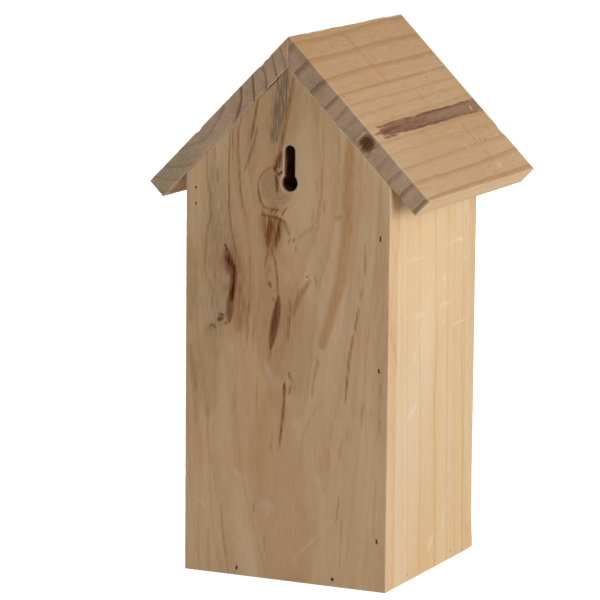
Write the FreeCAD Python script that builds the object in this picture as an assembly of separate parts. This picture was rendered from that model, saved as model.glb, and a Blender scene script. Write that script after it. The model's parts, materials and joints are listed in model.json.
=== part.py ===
import FreeCAD, Part
import math
import os

# Bird nest box of planed pine boards, nailed together under a pitched roof.
# Millimetres, +Z up. The entrance faces -Y, the back +Y, and the clean-out door is the +X side.
# The origin is under the middle of the whole box, on the plane that it stands on.

# Boards
wall_thickness = 12.0
roof_thickness = 12.0
floor_thickness = 12.0
body_width = 126.0
body_depth = 123.0
eave_height = 229.0  # where the roof's underside meets the outer face of a side
roof_pitch = 45.0  # degrees
roof_slope = 122.0  # down the outer face, from ridge to eave
front_overhang = 31.0
drain_corner = 12.0  # cropped off each corner of the floor

# Openings in the front and back panels
entrance_diameter = 32.0
entrance_above_floor = 160.0  # centre of the hole over the floor's upper face
keyhole_round = 9.0  # lets a screw head through
keyhole_slot = 6.0  # holds the screw's neck
keyhole_length = 25.2
keyhole_below_ridge = 44.0  # slot's upper end under the ridge's inner line
keyhole_offset = -1.5  # bored a little off the centre line

# Clean-out door, hung on two nails and held shut by a turning hook
door_side_gap = 0.6
door_top_gap = 1.0
door_bottom_gap = 2.0
door_stop_gap = 0.4  # from the door's inner face to the floor that stops it
pivot_below_eave = 17.0
pivot_nail_diameter = 2.0
pivot_nail_head = 2.6
pivot_nail_head_height = 1.2
pivot_nail_length = 35.0
pivot_nail_point = 2.0
running_clearance = 0.08  # round a nail or hook that something turns on
hook_wire = 2.6
hook_bend = 2.0  # radius of the bend's centre line
hook_stand = 0.1  # shank left outside the wood before the bend
hook_arm = 15.0  # from the shank's axis to the arm's end
hook_shank = 14.0  # in the wood
hook_height = 24.0

# T-headed brads, driven a little below the face
brad_length = 25.0
brad_shank = 1.2
brad_gauge = 1.0
brad_head = 2.0
brad_head_height = 1.2
brad_point = 1.5
brad_depth = 0.9  # from the board's face to the head
brad_clearance = 0.04  # wood round the brad
wall_brad_margin = 29.0  # end brads from the base and from the eave
middle_brad_rise = 11.5  # middle brad over the midpoint of the end ones
floor_brad_height = 4.2
floor_brad_margin = 9.0  # from a cropped corner, along the front and back
side_brad_margin = 6.0  # from a cropped corner, along the fixed side
roof_brad_ridge_margin = 33.0  # from the ridge, along a gable's sloping edge
roof_brad_corner_margin = 8.0  # from the gable's corner, along the same edge
roof_brad_back_inset = 5.0
roof_brad_front_inset = 4.0
stray_brad_below_eave = 8.0  # hole of a brad that was pulled out again

# Lines and planes that the boards share
half_width = body_width / 2
side_inner_x = half_width - wall_thickness
side_middle_x = half_width - wall_thickness / 2
back_y = (body_depth + front_overhang) / 2
front_y = back_y - body_depth
roof_front_y = -back_y
back_inner_y = back_y - wall_thickness
front_inner_y = front_y + wall_thickness
pitch = math.radians(roof_pitch)
ridge_under = eave_height + half_width * math.tan(pitch)
ridge_top = ridge_under + roof_thickness / math.cos(pitch)
side_inner_top = eave_height + wall_thickness * math.tan(pitch)
pivot_height = eave_height - pivot_below_eave
hook_y = front_y + wall_thickness / 2
hook_arm_x = half_width + hook_stand + hook_bend
cut_over = 1.0  # how far a cutting shape stands out of the face that it starts from

along_x = FreeCAD.Vector(1, 0, 0)
along_y = FreeCAD.Vector(0, 1, 0)
along_z = FreeCAD.Vector(0, 0, 1)


def prism(outline, start, run):
    """Solid of an outline of (x, z) points, carried along Y from start by run."""
    points = [FreeCAD.Vector(x, start, z) for x, z in outline]
    face = Part.Face(Part.makePolygon(points + points[:1]))
    return face.extrude(along_y * run)


def mirrored(outline):
    """The same outline on the other side of the middle plane."""
    return [(-x, z) for x, z in outline]


class Brad:
    """A T-headed brad: where it enters a board, the way it is driven and the way its head is wide."""

    def __init__(self, entry, driven, wide):
        self.entry = entry
        self.driven = driven
        self.wide = wide

    def _solid(self, room, above):
        """Brad with room added all round, reaching above over the head."""
        head = brad_head / 2 + room
        neck = brad_shank / 2 + room
        shoulder = brad_head_height + room
        half = [(head, -above), (head, shoulder), (neck, shoulder), (neck, brad_length - brad_point)]
        tip = [(0, brad_length + room)]
        thickness = brad_gauge + 2 * room
        shape = prism(half + tip + mirrored(half)[::-1], -thickness / 2, thickness)
        turn = FreeCAD.Rotation(self.wide, self.driven.cross(self.wide), self.driven, "ZXY")
        head_top = self.entry + self.driven * brad_depth
        shape.Placement = FreeCAD.Placement(head_top, turn)
        return shape

    def solid(self):
        """The brad itself."""
        return self._solid(0.0, 0.0)

    def pocket(self):
        """The hole that it makes, from over the board's face to its point."""
        return self._solid(brad_clearance, brad_depth + cut_over)


class PivotNail:
    """A round lost-head nail through a gable panel into the end of the door, driven along Y."""

    def __init__(self, face_y, inward):
        self.entry = FreeCAD.Vector(side_middle_x, face_y, pivot_height)
        self.inward = along_y * inward

    def _rod(self, diameter, start, length):
        """Round rod on the nail's axis, from start behind the panel's face."""
        return Part.makeCylinder(diameter / 2, length, self.entry + self.inward * start, self.inward)

    def solid(self):
        """The nail, with its head just under the panel's face."""
        head = self._rod(pivot_nail_head, brad_depth, pivot_nail_head_height)
        shank = self._rod(pivot_nail_diameter, brad_depth, pivot_nail_length - pivot_nail_point)
        point_base = self.entry + self.inward * (brad_depth + pivot_nail_length - pivot_nail_point)
        point = Part.makeCone(pivot_nail_diameter / 2, 0, pivot_nail_point, point_base, self.inward)
        return head.fuse([shank, point]).removeSplitter()

    def panel_hole(self):
        """The tight hole through the panel, with the head's recess."""
        recess_depth = brad_depth + pivot_nail_head_height + brad_clearance
        recess = self._rod(pivot_nail_head + 2 * brad_clearance, -cut_over, recess_depth + cut_over)
        hole = self._rod(pivot_nail_diameter + 2 * brad_clearance, 0.0, wall_thickness + cut_over)
        return recess.fuse(hole)

    def door_hole(self):
        """The free-running hole in the end of the door."""
        depth = brad_depth + pivot_nail_length + running_clearance
        return self._rod(pivot_nail_diameter + 2 * running_clearance, 0.0, depth)


def wall_brads(face_y, inward):
    """Brads from a gable panel's face into the end of the fixed side: two end ones and a middle one."""
    low = wall_brad_margin
    high = eave_height - wall_brad_margin
    heights = [low, (low + high) / 2 + middle_brad_rise, high]
    entries = [FreeCAD.Vector(-side_middle_x, face_y, height) for height in heights]
    return [Brad(entry, along_y * inward, along_z) for entry in entries]


def gable_floor_brads(face_y, inward):
    """Brads from a gable panel's face into the end of the floor."""
    reach = side_inner_x - drain_corner - floor_brad_margin
    entries = [FreeCAD.Vector(x, face_y, floor_brad_height) for x in (-reach, reach)]
    return [Brad(entry, along_y * inward, along_z) for entry in entries]


def fixed_side_floor_brads():
    """Brads from the fixed side's outer face into the edge of the floor."""
    inset = drain_corner + side_brad_margin
    places = (front_inner_y + inset, back_inner_y - inset)
    entries = [FreeCAD.Vector(-half_width, y, floor_brad_height) for y in places]
    return [Brad(entry, along_x, along_z) for entry in entries]


def roof_point(side, slope):
    """Point (x, z) on a roof board's outer face, slope down from the ridge; side is -1 or 1."""
    return side * slope * math.cos(pitch), ridge_top - slope * math.sin(pitch)


def roof_brads(side, y):
    """Brads through a roof board into a gable panel's sloping edge, square to the slope."""
    gable_corner = half_width / math.cos(pitch) + roof_thickness * math.tan(pitch)
    gable_ridge = roof_thickness * math.tan(pitch)
    slopes = (gable_ridge + roof_brad_ridge_margin, gable_corner - roof_brad_corner_margin)
    driven = FreeCAD.Vector(-side * math.sin(pitch), 0, -math.cos(pitch))
    down_slope = FreeCAD.Vector(side * math.cos(pitch), 0, -math.sin(pitch))
    brads = []
    for slope in slopes:
        x, z = roof_point(side, slope)
        brads.append(Brad(FreeCAD.Vector(x, y, z), driven, down_slope))
    return brads


def gable_outline():
    """Five-sided outline that the front and back panels share."""
    right = [(half_width, 0), (half_width, eave_height)]
    return right + [(0, ridge_under)] + mirrored(right)[::-1]


def keyhole():
    """Cutting shape of the hanger: a round hole with a narrower slot over it, rounded at its end."""
    top = ridge_under - keyhole_below_ridge
    slot_end = top - keyhole_slot / 2
    round_centre = top - keyhole_length + keyhole_round / 2
    run = wall_thickness + 2 * cut_over
    start = back_inner_y - cut_over
    hole_centre = FreeCAD.Vector(keyhole_offset, start, round_centre)
    end_centre = FreeCAD.Vector(keyhole_offset, start, slot_end)
    hole = Part.makeCylinder(keyhole_round / 2, run, hole_centre, along_y)
    end = Part.makeCylinder(keyhole_slot / 2, run, end_centre, along_y)
    corner = hole_centre - along_x * (keyhole_slot / 2)
    slot = Part.makeBox(keyhole_slot, run, slot_end - round_centre, corner)
    return hole.fuse([end, slot]).removeSplitter()


def entrance():
    """Cutting shape of the round entrance hole."""
    centre = FreeCAD.Vector(0, front_y - cut_over, floor_thickness + entrance_above_floor)
    return Part.makeCylinder(entrance_diameter / 2, wall_thickness + 2 * cut_over, centre, along_y)


def fixed_side_panel():
    """Side board between the gable panels, its top bevelled to the roof's underside."""
    outer = [(-half_width, 0), (-half_width, eave_height)]
    inner = [(-side_inner_x, side_inner_top), (-side_inner_x, 0)]
    return prism(outer + inner, front_inner_y, back_inner_y - front_inner_y)


def clean_out_door():
    """Side board that swings on its nails: as the fixed side, with a gap all round."""
    drop = door_top_gap / math.cos(pitch)
    outer = [(half_width, door_bottom_gap), (half_width, eave_height - drop)]
    inner = [(side_inner_x, side_inner_top - drop), (side_inner_x, door_bottom_gap)]
    length = back_inner_y - front_inner_y - 2 * door_side_gap
    return prism(outer + inner, front_inner_y + door_side_gap, length)


def floor_board():
    """Floor between the walls, with its four corners cropped off."""
    low_x = -side_inner_x
    high_x = side_inner_x - door_stop_gap
    outline = [
        (low_x + drain_corner, front_inner_y),
        (high_x - drain_corner, front_inner_y),
        (high_x, front_inner_y + drain_corner),
        (high_x, back_inner_y - drain_corner),
        (high_x - drain_corner, back_inner_y),
        (low_x + drain_corner, back_inner_y),
        (low_x, back_inner_y - drain_corner),
        (low_x, front_inner_y + drain_corner),
    ]
    points = [FreeCAD.Vector(x, y, 0) for x, y in outline]
    face = Part.Face(Part.makePolygon(points + points[:1]))
    return face.extrude(along_z * floor_thickness)


def roof_board(side):
    """Roof board, mitred at the ridge, square at the eave and flush with the back panel."""
    eave_x, eave_z = roof_point(side, roof_slope)
    under_x = eave_x - side * roof_thickness * math.sin(pitch)
    under_z = eave_z - roof_thickness * math.cos(pitch)
    outline = [(0, ridge_top), (eave_x, eave_z), (under_x, under_z), (0, ridge_under)]
    return prism(outline, roof_front_y, back_y - roof_front_y)


def latch_hook():
    """Bent wire hook: a shank in the front panel's edge, a quarter bend and an arm that hangs down."""
    radius = hook_wire / 2
    bend_start = FreeCAD.Vector(half_width + hook_stand, hook_y, hook_height)
    shank_length = hook_shank + hook_stand
    shank = Part.makeCylinder(radius, shank_length, bend_start - along_x * shank_length, along_x)
    ring = Part.Wire(Part.makeCircle(radius, bend_start, along_x))
    bend_centre = bend_start - along_z * hook_bend
    bend = Part.Face(ring).revolve(bend_centre, along_y, 90)
    arm_top = FreeCAD.Vector(hook_arm_x, hook_y, hook_height - hook_bend)
    arm_length = hook_arm - hook_bend - radius
    arm = Part.makeCylinder(radius, arm_length, arm_top, -along_z)
    tip = Part.makeSphere(radius, arm_top - along_z * arm_length)
    return shank.fuse([bend, arm, tip]).removeSplitter()


def hook_hole():
    """Pilot hole for the hook's shank in the front panel's edge."""
    depth = hook_shank + running_clearance
    mouth = FreeCAD.Vector(half_width + cut_over, hook_y, hook_height)
    return Part.makeCylinder(hook_wire / 2 + running_clearance, depth + cut_over, mouth, -along_x)


def pockets(*groups):
    """The holes of every brad in some groups."""
    return [brad.pocket() for group in groups for brad in group]


back_wall = wall_brads(back_y, -1)
front_wall = wall_brads(front_y, 1)
back_floor = gable_floor_brads(back_y, -1)
front_floor = gable_floor_brads(front_y, 1)
side_floor = fixed_side_floor_brads()
back_roof = {side: roof_brads(side, back_y - roof_brad_back_inset) for side in (-1, 1)}
front_roof = {side: roof_brads(side, front_y + roof_brad_front_inset) for side in (-1, 1)}
back_nail = PivotNail(back_y, -1)
front_nail = PivotNail(front_y, 1)
stray_entry = FreeCAD.Vector(side_middle_x, back_y, eave_height - stray_brad_below_eave)
stray_brad = Brad(stray_entry, -along_y, along_z)

back_cuts = pockets(back_wall, back_floor, back_roof[-1], back_roof[1], [stray_brad])
front_cuts = pockets(front_wall, front_floor, front_roof[-1], front_roof[1])
gable = gable_outline()

nodes = {
    "back_panel": prism(gable, back_inner_y, wall_thickness).cut(
        back_cuts + [keyhole(), back_nail.panel_hole()]),
    "front_panel": prism(gable, front_y, wall_thickness).cut(
        front_cuts + [entrance(), front_nail.panel_hole(), hook_hole()]),
    "fixed_side_panel": fixed_side_panel().cut(pockets(back_wall, front_wall, side_floor)),
    "clean_out_door": clean_out_door().cut([back_nail.door_hole(), front_nail.door_hole()]),
    "floor_board": floor_board().cut(pockets(back_floor, front_floor, side_floor)),
    "roof_board_fixed_side": roof_board(-1).cut(pockets(back_roof[-1], front_roof[-1])),
    "roof_board_door_side": roof_board(1).cut(pockets(back_roof[1], front_roof[1])),
    "door_pivot_nail_back": back_nail.solid(),
    "door_pivot_nail_front": front_nail.solid(),
    "latch_hook": latch_hook(),
}

brad_groups = {
    "back_brads_fixed_side": back_wall,
    "front_brads_fixed_side": front_wall,
    "back_brads_floor": back_floor,
    "front_brads_floor": front_floor,
    "side_brads_floor": side_floor,
    "roof_brads_back_fixed_side": back_roof[-1],
    "roof_brads_back_door_side": back_roof[1],
    "roof_brads_front_fixed_side": front_roof[-1],
    "roof_brads_front_door_side": front_roof[1],
}
for name, group in brad_groups.items():
    nodes[name] = Part.makeCompound([brad.solid() for brad in group])

os.makedirs("parts", exist_ok=True)
for name, shape in nodes.items():
    shape.exportStep("parts/" + name + ".step")
    print(name, len(shape.Solids), shape.isValid(), round(shape.Volume, 2))

# The door swings until its outer face meets the eave's lower corner.
eave_x, eave_z = roof_point(1, roof_slope)
reach_x = eave_x - roof_thickness * math.sin(pitch) - side_middle_x
reach_z = eave_z - roof_thickness * math.cos(pitch) - pivot_height
swing = math.atan2(reach_z, reach_x) + math.acos(wall_thickness / 2 / math.hypot(reach_x, reach_z))
print("door swing limit, degrees:", round(math.degrees(swing), 2))
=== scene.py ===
"""Looks of a bird nest box of planed pine boards, built around its packed construction.

Lengths are in millimetres and angles in degrees until a mesh, a light or the camera is made, which are in
metres. Every board has its own coordinates: a runs across it, b along its grain, and c out of its shown face,
where c is 0.
"""

import json
import logging
import math
from dataclasses import dataclass, field
from enum import Enum

import bmesh
import bpy
import numpy as np
from mathutils import Matrix, Vector


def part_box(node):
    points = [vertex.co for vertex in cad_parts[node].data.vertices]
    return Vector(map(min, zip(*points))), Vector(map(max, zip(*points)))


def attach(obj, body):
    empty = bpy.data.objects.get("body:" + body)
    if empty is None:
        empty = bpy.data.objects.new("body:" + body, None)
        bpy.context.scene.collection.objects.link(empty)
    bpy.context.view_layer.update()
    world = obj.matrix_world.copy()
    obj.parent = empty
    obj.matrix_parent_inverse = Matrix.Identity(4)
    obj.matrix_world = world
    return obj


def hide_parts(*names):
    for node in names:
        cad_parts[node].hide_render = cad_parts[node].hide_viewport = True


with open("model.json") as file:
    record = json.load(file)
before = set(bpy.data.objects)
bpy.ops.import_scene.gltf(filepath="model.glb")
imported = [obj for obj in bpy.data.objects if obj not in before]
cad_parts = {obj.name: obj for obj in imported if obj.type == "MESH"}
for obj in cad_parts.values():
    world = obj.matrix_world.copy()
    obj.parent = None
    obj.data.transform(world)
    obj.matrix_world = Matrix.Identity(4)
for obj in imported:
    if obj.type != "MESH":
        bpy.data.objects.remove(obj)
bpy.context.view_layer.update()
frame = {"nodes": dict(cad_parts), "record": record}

Array = np.ndarray
Piece = bpy.types.Object
Socket = bpy.types.NodeSocket
Tree = bpy.types.NodeTree
Pair = tuple[float, float]
Triple = tuple[float, float, float]
Course = tuple[Pair, ...]

LOG = logging.getLogger("nest_box")
MM = 0.001
PITCH = math.radians(45.0)
# steps of a board's grid, plain and in its fine zone, and the places at which their density is summed
ACROSS_GRID, ALONG_GRID = 0.9, 1.6
FINE_ACROSS, FINE_ALONG = 0.55, 1.0
GRADING_STEPS = 4001
# how near points are merged, and the angle below which faces are shaded smooth
MERGE, SMOOTH_BELOW = 0.001, 32.0
# how many waves are summed, and what brings their sum to about 1
WAVES, WAVE_SPREAD = 6, 1.6
# rings drawn on both sides of measured ones, the share of a ring where it is darkest, and how a knot's show
RINGS, RING_PEAK, KNOT_RINGS = 90, 0.94, 0.6
# the distance noted where a board has no knot
NO_KNOT = 9.0
# how far from an edge wear reaches, and how far edges stray, in radii of the edge
WEAR_WIDTH, STRAY_WIDTH = 1.3, 1.6
# how wide a brad's head may be, and how deep its top
HEAD_SPAN, HEAD_FLAT = 6.0, 0.05
# how fibres change red, green and blue
DARK_FIBRE, LIGHT_FIBRE = (-0.32, -0.42, -0.54), (0.34, 0.36, 0.36)
# settings that many nodes share
SMOOTH = {"interpolation_type": "SMOOTHSTEP"}
TIMES = {"operation": "MULTIPLY"}
RGBA = {"data_type": "RGBA", "out": 2}
TINT = {"blend_type": "MULTIPLY", **RGBA}


class Body(Enum):
    """The bodies of the part that pieces ride on."""

    BOX = "box"
    DOOR = "door"
    LATCH = "latch"


class Slot(Enum):
    """The record's material slots that new pieces take."""

    PINE = "pine_board"
    HOOK = "hook_zinc"


class Ink(Enum):
    """What marks the wood, from the deepest layer to the last scratch: its sRGB colour and raggedness."""

    PALE = ("#F0D6B0", 0.3)
    AMBER = ("#C8925C", 0.3)
    HEART = ("#BA8C60", 0.35)
    LATE = ("#A66C3C", 0.7)
    GUM = ("#C48A48", 1.0)
    BLUE = ("#7B6B58", 0.9)
    RESIN = ("#805844", 0.2)
    RUST = ("#864820", 0.6)
    # dark bark; it also paints the shade on the walls inside holes and sockets
    BARK = ("#4C2410", 0.4)
    SCUFF = ("#F2E6D4", 0.5)

    @property
    def colour(self) -> str:
        """Its colour."""
        return self.value[0]

    @property
    def ragged(self) -> float:
        """How much of its cover comes and goes with the fibres."""
        return self.value[1]

    @property
    def note(self) -> str:
        """The mesh attribute that holds its cover."""
        return f"{self.name.lower()}_stain"


class Grain(Enum):
    """Patterns along the grain: their size across and along it, then the noise's detail and roughness."""

    STREAK = (7.0, 210.0, 3.0, 0.5)
    FIBRE = (0.9, 17.0, 3.0, 0.65)
    CANAL = (0.8, 9.0, 1.0, 0.5)
    DRIFT = (13.0, 60.0, 1.0, 0.5)
    THREAD = (0.6, 8.0, 3.0, 0.5)


def linear(code: str) -> tuple[float, float, float, float]:
    """Turns an sRGB hex colour into a linear one.

    Args:
        code: The colour, such as "#C8A070".

    Returns:
        Linear red, green and blue, with an alpha of 1.
    """
    parts = [int(code[i : i + 2], 16) / 255 for i in (1, 3, 5)]
    low, knee = 12.92, 0.04045
    red, green, blue = (p / low if p <= knee else ((p + 0.055) / 1.055) ** 2.4 for p in parts)
    return red, green, blue, 1.0


def add_node(
    tree: Tree, kind: str, inputs: dict | None = None, out: int | str = 0, **settings: object
) -> Socket | None:
    """Adds a node, sets it and links it.

    Args:
        tree: The node tree that gets the node.
        kind: The node's Blender type, without its ShaderNode.
        inputs: A value or an output socket for each input, by name or number.
        out: Which of its outputs is wanted.
        settings: Values for the node's own properties.

    Returns:
        That output, if the node has any.
    """
    node = tree.nodes.new(f"ShaderNode{kind}")
    for name, value in settings.items():
        setattr(node, name, value)
    for name, value in (inputs or {}).items():
        if isinstance(value, Socket):
            tree.links.new(value, node.inputs[name])
        else:
            node.inputs[name].default_value = value
    return node.outputs[out] if node.outputs else None


def blank_material(name: str) -> bpy.types.Material:
    """Makes a material with an empty node tree.

    Args:
        name: What the material is.

    Returns:
        The material.
    """
    material = bpy.data.materials.new(name)
    material.use_nodes = True
    material.node_tree.nodes.clear()
    return material


def node_box(node: str) -> tuple[Array, Array]:
    """Reads where a CAD node lies.

    Args:
        node: The node's name.

    Returns:
        Its lowest and highest corner in millimetres.
    """
    low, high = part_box(node)
    return np.array(low) / MM, np.array(high) / MM


def waves(points: Array, spans: Triple, seed: int) -> Array:
    """Wanders smoothly between about -1 and 1: the mean of a few sine waves in seeded directions.

    Args:
        points: Places, with a, b and c in the last axis.
        spans: The length of a wave along a, b and c.
        seed: Which directions and phases are drawn.

    Returns:
        One value for each place.
    """
    draw = np.random.default_rng(seed)
    turns = draw.normal(size=(WAVES, 3)) * 2 * math.pi / np.array(spans)
    phases = draw.uniform(0, 2 * math.pi, WAVES)
    return np.sin(points @ turns.T + phases).mean(axis=-1) * math.sqrt(WAVES) / WAVE_SPREAD


def graded(low: float, high: float, step: float, fine: float, zone: Pair) -> Array:
    """Sets places between two ends that lie closer in a zone: equal shares of the sum of one over the step.

    Args:
        low, high: The ends.
        step: The step outside the zone.
        fine: The step in the zone.
        zone: Where the zone begins and ends.

    Returns:
        The places, in order.
    """
    line = np.linspace(low, high, GRADING_STEPS)
    density = np.where((line > zone[0]) & (line < zone[1]), 1 / fine, 1 / step)
    total = np.concatenate([[0.0], np.cumsum((density[1:] + density[:-1]) / 2 * np.diff(line))])
    return np.interp(np.linspace(0, total[-1], int(total[-1]) + 1), total, line)


def skin(name: str, rows: Array) -> Piece:
    """Makes a closed mesh from rows of points that each go once round, drawn together at both ends.

    The surface is a grid of two parameters, round and along. Points that coincide at the ends are merged.

    Args:
        name: The piece's name.
        rows: Places in metres, as rows by points round by three.

    Returns:
        The object, at the origin, with its faces outwards.
    """
    count, around = rows.shape[:2]
    index = np.arange(count * around).reshape(count, around)
    ahead = np.roll(index, -1, axis=1)
    quads = np.stack([index[:-1], ahead[:-1], ahead[1:], index[1:]], axis=-1).reshape(-1, 4)
    mesh = bpy.data.meshes.new(name)
    mesh.from_pydata(rows.reshape(-1, 3).tolist(), [], quads.tolist())
    shell = bmesh.new()
    shell.from_mesh(mesh)
    bmesh.ops.remove_doubles(shell, verts=shell.verts, dist=MERGE * MM)
    bmesh.ops.recalc_face_normals(shell, faces=shell.faces)
    shell.to_mesh(mesh)
    shell.free()
    piece = bpy.data.objects.new(name, mesh)
    bpy.context.scene.collection.objects.link(piece)
    return piece


def cut(piece: Piece, cutter: Piece) -> None:
    """Takes a cutter's volume out of a piece and deletes the cutter.

    Args:
        piece: The piece, whose mesh changes.
        cutter: A closed object.
    """
    tool = piece.modifiers.new("bore", "BOOLEAN")
    tool.operation, tool.solver, tool.object = "DIFFERENCE", "MANIFOLD", cutter
    depsgraph = bpy.context.evaluated_depsgraph_get()
    shaped = bpy.data.meshes.new_from_object(piece.evaluated_get(depsgraph))
    piece.modifiers.remove(tool)
    spent, waste = piece.data, cutter.data
    piece.data = shaped
    bpy.data.objects.remove(cutter)
    bpy.data.meshes.remove(spent)
    bpy.data.meshes.remove(waste)
    shaped.name = piece.name


@dataclass(frozen=True)
class Seat:
    """Where a board lies: a point of its shown face and its right-handed directions of a, b and c."""

    origin: Triple
    across: Triple
    along: Triple
    out: Triple

    def axes(self) -> Array:
        """The three directions as the rows of a matrix."""
        return np.array([self.across, self.along, self.out])

    def place(self, points: Array) -> Array:
        """Turns board coordinates in millimetres into places in metres."""
        return (np.array(self.origin) + points @ self.axes()) * MM

    def read(self, places: Array) -> Array:
        """Turns places in metres into board coordinates in millimetres."""
        return (places / MM - np.array(self.origin)) @ self.axes().T

    def vertices(self, piece: Piece) -> Array:
        """Reads the places of a piece's mesh as board coordinates in millimetres."""
        places = np.empty(len(piece.data.vertices) * 3)
        piece.data.vertices.foreach_get("co", places)
        return self.read(places.reshape(-1, 3))

    def mapping(self) -> dict[str, tuple]:
        """Settings of a Mapping node that turns Object coordinates into board coordinates in millimetres."""
        turn = Matrix(self.axes().tolist())
        shift = -(self.axes() @ np.array(self.origin))
        scale = (1 / MM, 1 / MM, 1 / MM)
        return {"Location": tuple(shift), "Rotation": tuple(turn.to_euler()), "Scale": scale}


@dataclass(frozen=True)
class Knot:
    """A branch that the board was sawn through.

    Attributes:
        a, b: Its centre on the shown face.
        radius: Its radius across the grain.
        stretch: How many times longer it is along the grain.
        ring: The spacing of its own rings.
        shown: Whether its own rings show, or only how the grain parts round it.
    """

    a: float
    b: float
    radius: float
    stretch: float = 1.2
    ring: float = 1.9
    shown: bool = True

    def reach(self, points: Array) -> Array:
        """Distance from the knot's centre, as a share of its radius."""
        return np.hypot(points[..., 0] - self.a, (points[..., 1] - self.b) / self.stretch) / self.radius


@dataclass(frozen=True)
class Timber:
    """How a board was sawn from its log.

    Attributes:
        pith: Where the log's centre line is, across the board and out of its face, at b = 0.
        lean: How far the centre line moves across and out for each millimetre along the board.
        ring: The mean spacing of the growth rings.
        wander: How far the rings stray from true circles.
        seed: Which stray is drawn.
        knots: The branches in the board.
        ripple: How far the rings ripple, in rings.
        rings: Radii where measured rings end, from the pith outwards.
        dense: How dark the summer wood of each measured ring is.
    """

    pith: Pair
    ring: float
    lean: Pair = (0.0, 0.0)
    wander: float = 1.6
    seed: int = 1
    knots: tuple[Knot, ...] = ()
    ripple: float = 0.1
    rings: tuple[float, ...] = ()
    dense: tuple[float, ...] = ()

    def edges(self) -> Array:
        """Radii where rings end: the measured ones, with seeded ones of the mean spacing on both sides."""
        draw = np.random.default_rng(self.seed + 70)
        steps = np.cumsum(self.ring * draw.uniform(0.5, 1.5, RINGS))
        known = np.array(self.rings or (0.0,))
        return np.concatenate([known[0] - steps[::-1], known, known[-1] + steps])

    def density(self, count: Array) -> Array:
        """How dark the summer wood is in the ring of each count: measured, or drawn from a third to all."""
        draw = np.random.default_rng(self.seed + 71)
        dark = draw.uniform(0.3, 1.0, 2 * RINGS + len(self.rings) + 2)
        dark[RINGS - 1 : RINGS - 1 + len(self.dense)] = self.dense
        return dark[np.clip(np.floor(count).astype(int), 0, dark.size - 1)]

    def strand(self, points: Array) -> Array:
        """Follows single fibres: the place across the board, which stays the same along a fibre.

        Round a knot, fibres part as a stream parts round a post: a is drawn to the knot's centre by the
        square of radius over distance.

        Args:
            points: Board coordinates.

        Returns:
            The place across, in millimetres.
        """
        a = points[..., 0]
        parted = a + self.wander * waves(points, (90, 300, 90), self.seed)
        for knot in self.knots:
            parted = parted - (a - knot.a) * np.minimum(1, 1 / np.maximum(knot.reach(points), 0.05) ** 2)
        return parted

    def growth(self, points: Array) -> Array:
        """Counts growth rings outwards from the pith, by the distance from a leaning line.

        Inside a knot its own rings count.

        Args:
            points: Board coordinates.

        Returns:
            The number of rings, whose fraction is the place in a ring.
        """
        b, c = points[..., 1], points[..., 2]
        fine = self.ripple * waves(points, (26, 110, 26), self.seed + 50)
        stray = self.wander * waves(points, (80, 280, 80), self.seed + 3)
        aside = self.strand(points) - self.pith[0] - self.lean[0] * b
        edges = self.edges()
        radius = np.hypot(aside, c - self.pith[1] - self.lean[1] * b + stray)
        count = np.interp(radius, edges, np.arange(edges.size)) + fine
        for knot in (k for k in self.knots if k.shown):
            share = knot.reach(points) * (1 + 0.06 * waves(points, (9, 9, 40), self.seed + 9))
            count = np.where(share < 1, share * knot.radius / knot.ring, count)
        return count

    def knot(self, points: Array) -> Array:
        """Distance from the nearest shown knot, as a share of its radius, or NO_KNOT where there is none."""
        near = np.full(points.shape[:-1], NO_KNOT)
        for knot in (k for k in self.knots if k.shown):
            near = np.minimum(near, knot.reach(points))
        return near

    def tone(self, points: Array) -> Array:
        """Slow change from pale to warm wood, between 0 and 1."""
        return np.clip(0.5 + 0.6 * waves(points, (75, 420, 75), self.seed + 20), 0, 1)


@dataclass(frozen=True)
class Mark:
    """A streak, spot or scratch that follows a course of points on a board or inside it.

    Attributes:
        ink: What marks the wood.
        width: The mark's width, where it has half its strength.
        strength: How much of the wood it hides.
        course: The points that it follows, as a and b.
        soft: The share of its width over which it fades.
        taper: How much narrower its ends are than its middle.
        depth: Where its middle lies along c.
        reach: How deep it goes.
    """

    ink: Ink
    width: float
    strength: float
    course: Course
    soft: float = 0.6
    taper: float = 0.6
    depth: float = 0.0
    reach: float = 4.0

    def near(self, points: Array) -> Array:
        """Whether each place is near enough to the course to be marked."""
        ends, edge = np.array(self.course), self.width * (1 + self.soft) / 2
        flat = points[..., :2]
        return np.all((flat > ends.min(axis=0) - edge) & (flat < ends.max(axis=0) + edge), axis=-1)

    def cover(self, points: Array) -> Array:
        """How much of the wood the mark hides at each place.

        The gap to the nearest stretch of the course is taken in half widths, which shrink towards the ends,
        and the place along c in reaches. Their root of squares is 1 where a smooth step has fallen to half.

        Args:
            points: Board coordinates.

        Returns:
            A share between 0 and the mark's strength.
        """
        ends, flat = np.array(self.course), points[..., :2]
        steps = np.linalg.norm(np.diff(ends, axis=0), axis=1)
        gone = np.concatenate([[0.0], np.cumsum(steps)])
        aside = np.full(flat.shape[:-1], np.inf)
        for start, end, step, before in zip(ends[:-1], ends[1:], steps, gone):
            way = np.clip((flat - start) @ (end - start) / step**2, 0, 1)
            gap = np.linalg.norm(flat - start - way[..., None] * (end - start), axis=-1)
            share = (before + way * step) / gone[-1]
            aside = np.minimum(aside, gap / (self.width / 2 * (1 - self.taper * (2 * share - 1) ** 2)))
        far = np.hypot(aside, (points[..., 2] - self.depth) / self.reach)
        fade = np.clip((1 + self.soft - far) / (2 * self.soft), 0, 1)
        return self.strength * fade**2 * (3 - 2 * fade)


Marks = tuple[Mark, ...]


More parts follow.
